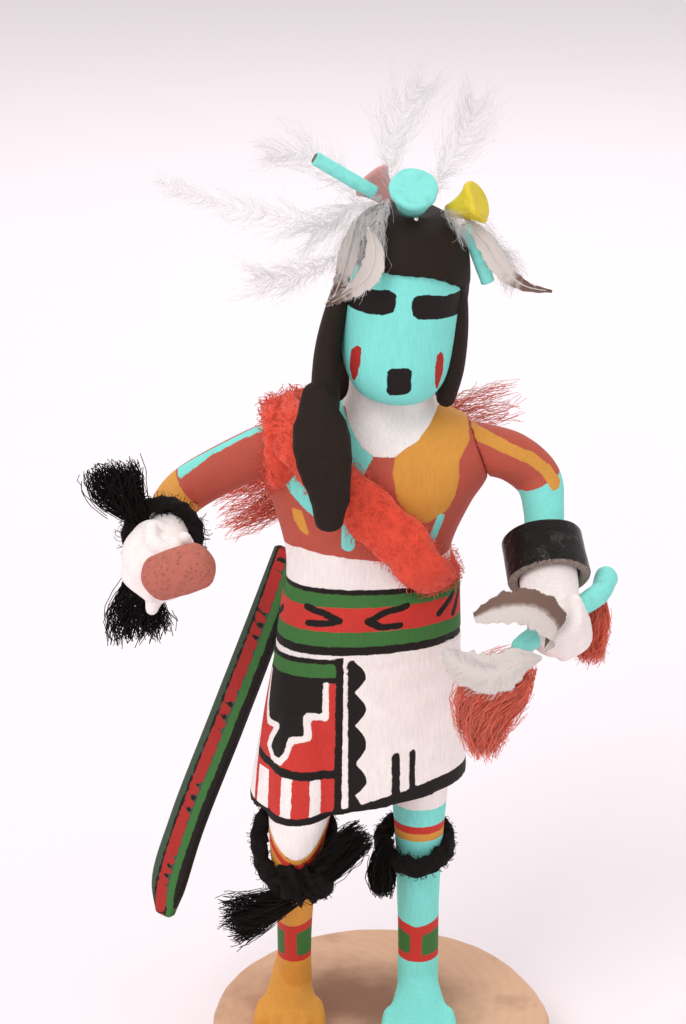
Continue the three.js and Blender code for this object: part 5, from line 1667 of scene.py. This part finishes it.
class DOLL_OT_ties(PieceOperator, bpy.types.Operator):
    """Adds the black wool round the wrist and under both knees"""

    bl_idname = "doll.ties"
    bl_label = "Wrist and knee ties"

    def build(self, sizes):
        needed("wrist_tie", "knee_tie_standing", "knee_tie_stepping")
        finish = wool_finish("Black wool", "black_wool", 0.6, 0.0)
        wrist = wool_ring((-48, -16.4, 130.4), (7.2, 0), (0, 0.8), (0, 7.2), 2.0, 1.7)
        tie("wrist_wool", "wrist_tie", "black_yarn", wrist, WRIST_TUFTS, finish, 330, 1.3, 2.2, heart=0.5, length=1.2)
        standing = wool_ring((7.6, -2.2, 48.6), (7.5, 0), (0, 8.1), (0, 8.1 * 0.3), 2.2, 1.9)
        tie("standing_knee_wool", "knee_tie_standing", "black_yarn", standing, STANDING_TUFTS, finish, 330, 0.9, 3.0)
        stepping = wool_ring((-20.2, -13.4, 54.6), (8, 0), (0, 9), (0, 9 * 0.82), 2.2, 1.9)
        knot = limb([(-22.6, -21, 48.6), (-18.4, -22, 48), (-13.8, -21.4, 47.4)], (3.2, 3.8, 3), (3, 3.2, 2.6),
                    steps=20, around=28, lumps=0.5)
        stepping = together([stepping, knot])
        tie("stepping_knee_wool", "knee_tie_stepping", "black_yarn", stepping, STEPPING_TUFTS, finish, 340, 1.0, 3.0)


class DOLL_OT_tassels(PieceOperator, bpy.types.Operator):
    """Adds the red wool at both ends of the bow"""

    bl_idname = "doll.tassels"
    bl_label = "Tassels"

    def build(self, sizes):
        needed(*TASSELS)
        # The tassels take the lighter copy of the wool: painted light.
        finish = wool_finish("Tassel wool", "loose_wool", 1.0, 0.5)
        for (name, tuft), count in zip(TASSELS.items(), (900, 420)):
            tie(name + "_wool", name, "red_yarn", None, [tuft], finish, count, 2.2, 3.0, fine=0.7)


class DOLL_OT_flowers(PieceOperator, bpy.types.Operator):
    """Adds the disc, the two cone flowers, the dowels and the pin on the head"""

    bl_idname = "doll.flowers"
    bl_label = "Head ornaments"

    def build(self, sizes):
        needed("crown_disc", "flower_yellow", "flower_pink", "stick_left", "stick_right", "pin")
        way = unit((0.05, -0.63, 0.77))
        start = np.array((5.6, -10.4, 206)) - way * 6.6
        disc = [(0, 3.1), (2, 3.7), (4, 4.4), (4.55, 4.6), (4.75, 4.75), (4.95, 5.0), (5.6, 5.1), (6.2, 5.1),
                (6.5, 4.9), (6.62, 4.5), (6.66, 3.4), (6.66, 1.6)]
        turquoise = plain_paint("Turquoise ornament", "turquoise", chips=0.74)
        piece = made("crown_disc_turned", turned(start, way, disc, 64, 0.012, 4), turquoise)
        stands_for(piece, "turquoise_paint", "crown_disc")
        cone = [(0, 1.7), (1.6, 1.95), (3.4, 2.55), (5, 3.4), (6.2, 4.2), (6.8, 4.4), (7.3, 4.3), (7.6, 3.9),
                (7.65, 3.0), (7.2, 1.6)]
        for name, root, way, colour, slot in (
            ("flower_yellow", (13.2, -4.4, 199), (0.82, -0.3, 0.42), "yellow", "yellow_paint"),
            ("flower_pink", (1.4, 3.4, 199), (-0.58, 0.3, 0.62), "pink", "pink_paint"),
        ):
            finish = plain_paint(colour.capitalize() + " paint", colour, chips=0.68, size=1.3)
            stands_for(made(name + "_cone", turned(root, way, cone, 56, 0.045, len(name)), finish), slot, name)
        bare = plain_paint("Bare dowel", "feather_tip", gloss=0.8)
        for name, root, way, length in (
            ("stick_left", (-2.4, -5.4, 203.4), (-0.84, -0.12, 0.53), 15.0),
            ("stick_right", (16.9, -4.6, 196.6), (0.36, -0.06, -0.93), 13.5),
        ):
            stops = [(0, 1.2), (0.2, 1.4)] + [(z, 1.5) for z in np.linspace(0.5, length - 0.4, 20)]
            stops += [(length - 0.15, 1.42), (length, 1.2), (length, 0.6)]
            piece = made(name + "_dowel", turned(root, way, stops, 36, 0.01, 2), turquoise)
            stands_for(piece, "turquoise_paint", name)
            end = np.array(root) + unit(way) * (length if name == "stick_left" else 0.0)
            cut = turned(end - unit(way) * 0.3, way, [(0, 1.0), (0.35, 1.12), (0.45, 1.0), (0.3, 0.6)], 24, 0.05)
            stands_for(made(name + "_cut", cut, bare), "turquoise_paint")
        stops = [(0, 0.3), (0.85, 0.33), (0.95, 0.45), (1.1, 0.5), (1.3, 0.48), (1.45, 0.38), (1.52, 0.2)]
        piece = made("pin_head", turned((6.1, -11.1, 198.7), (0, -0.7, 0.7), stops, 24), steel_finish())
        stands_for(piece, "pin_steel", "pin")


class DOLL_OT_feathers(PieceOperator, bpy.types.Operator):
    """Adds the feathers on the head and in the left hand"""

    bl_idname = "doll.feathers"
    bl_label = "Feathers"

    def build(self, sizes):
        needed(*FEATHERS)
        quill = plain_paint("Quill", "feather", gloss=0.4, chips=0.95)
        for name, shape in FEATHERS.items():
            vane(name, shape, quill)
        guides = []
        for number, (name, (points, wide, side, _, _)) in enumerate(FEATHERS.items()):
            if name == "hand_feather_upper":
                continue  # white barbs don't show on this brown one
            wide = np.array(wide) * 1.1
            guides.append(barbs(points, wide, side, 170, 5, number, lift=0.06, uneven=0.12, sweep=0.5, curl=0.15))
        stands_for(strands("feather_barbs", guides, down_finish(), sizes.down_barb, 0.25, 2.0), "barred_feather")


class DOLL_OT_down(PieceOperator, bpy.types.Operator):
    """Adds the white down on the head"""

    bl_idname = "doll.down"
    bl_label = "Down"

    def build(self, sizes):
        needed(*PLUMES)
        finish = down_finish()
        for number, (name, (points, wide, side)) in enumerate(PLUMES.items()):
            wide = np.array(wide, float)
            shaft = spread(columns(points), 24)[None, ...]
            fine = barbs(points, wide * 1.2, side, 300, 7, number + 5, start=0.02, curl=0.8, lift=0.5)
            near = barbs(points, wide * 0.7 + 1.0, side, 110, 5, number + 25, start=0.0, curl=1.0, lift=0.9)
            piece = strands(name + "_down", [shaft, fine, near], finish, sizes.down_barb, 1.7, 3.2)
            stands_for(piece, "white_down", name)
        guides = []
        for number, (points, reach, count) in enumerate(FLUFF):
            wide = np.full(len(points), reach)
            guides.append(
                barbs(points, wide, (0.6, 0.3, 0.7), count, 7, number + 71, start=0.0, curl=1.0, lift=1.2, sweep=0.9)
            )
        stands_for(strands("fluff", guides, finish, sizes.down_barb, 1.6, 2.6), "white_down")


class DOLL_OT_stage(PieceOperator, bpy.types.Operator):
    """Adds the pale floor, the soft lights and the camera"""

    bl_idname = "doll.stage"
    bl_label = "Stage"

    def build(self, sizes):
        scene = bpy.context.scene
        finish = Finish("Pale floor")
        tone = finish.noise(60.0, 2.0)
        finish["Base Color"] = finish.shade(linear(243, 234, 239), 0.985 + tone * 0.02)
        finish["Roughness"] = 0.7 + tone * 0.05
        mesh = bpy.data.meshes.new("floor")
        mesh.from_pydata([(-4, -4, 0), (4, -4, 0), (4, 6, 0), (-4, 6, 0)], [], [(0, 1, 2, 3)])
        mesh.materials.append(finish.material)
        floor = bpy.data.objects.new("floor", mesh)
        scene.collection.objects.link(floor)
        world = bpy.data.worlds.new("Soft room")
        world.use_nodes = True
        background = world.node_tree.nodes["Background"]
        background.inputs["Color"].default_value = (1.0, 0.985, 0.98, 1.0)
        background.inputs["Strength"].default_value = 0.8
        scene.world = world
        for name, place, aim, width, power in (
            ("key", (-0.55, -0.75, 1.05), (0, 0, 0.12), 0.6, 6.0),
            ("fill", (0.9, -0.7, 0.6), (0, 0, 0.12), 0.8, 0.8),
            ("back", (0.1, 0.9, 0.9), (0, 0, 0.15), 0.8, 4.0),
        ):
            light = bpy.data.lights.new(name, "AREA")
            light.energy = power
            light.size = width
            lamp = bpy.data.objects.new(name, light)
            lamp.location = place
            away = np.array(place) - np.array(aim)
            lamp.rotation_euler = (
                math.atan2(math.hypot(away[0], away[1]), away[2]), 0, math.atan2(away[1], away[0]) + math.pi / 2
            )
            scene.collection.objects.link(lamp)
        scene.view_settings.view_transform = "Standard"
        lens = bpy.data.cameras.new("camera")
        lens.lens = CAMERA_LENS
        lens.clip_start = 0.01
        camera = bpy.data.objects.new("camera", lens)
        camera.location = CAMERA_PLACE
        camera.rotation_euler = (math.radians(CAMERA_TILT), 0, 0)
        scene.collection.objects.link(camera)
        scene.camera = camera


class DOLL_PT_pieces(bpy.types.Panel):
    """Lists the doll's pieces and their settings"""

    bl_label = "Carved Dancer Doll"
    bl_idname = "DOLL_PT_pieces"
    bl_space_type = "VIEW_3D"
    bl_region_type = "UI"
    bl_category = "Doll"

    def draw(self, context):
        for group in (context.scene.doll_sizes, context.scene.doll_colours):
            box = self.layout.box()
            for key in group.__annotations__:
                box.prop(group, key)
        for operator in PIECES:
            self.layout.operator(operator.bl_idname)


PIECES = (
    DOLL_OT_stage,
    DOLL_OT_log_slice,
    DOLL_OT_body,
    DOLL_OT_head,
    DOLL_OT_arms,
    DOLL_OT_sash_end,
    DOLL_OT_rattle,
    DOLL_OT_bow,
    DOLL_OT_cuff,
    DOLL_OT_bandolier,
    DOLL_OT_ties,
    DOLL_OT_tassels,
    DOLL_OT_flowers,
    DOLL_OT_feathers,
    DOLL_OT_down,
)
CLASSES = (DollSizes, DollColours, *PIECES, DOLL_PT_pieces)


def register():
    for kind in CLASSES:
        bpy.utils.register_class(kind)
    bpy.types.Scene.doll_sizes = PointerProperty(type=DollSizes)
    bpy.types.Scene.doll_colours = PointerProperty(type=DollColours)


def unregister():
    del bpy.types.Scene.doll_colours
    del bpy.types.Scene.doll_sizes
    for kind in reversed(CLASSES):
        bpy.utils.unregister_class(kind)


def main():
    """Adds every piece in turn."""
    register()
    for operator in PIECES:
        group, name = operator.bl_idname.split(".")
        getattr(getattr(bpy.ops, group), name)()


if __name__ == "__main__":
    main()
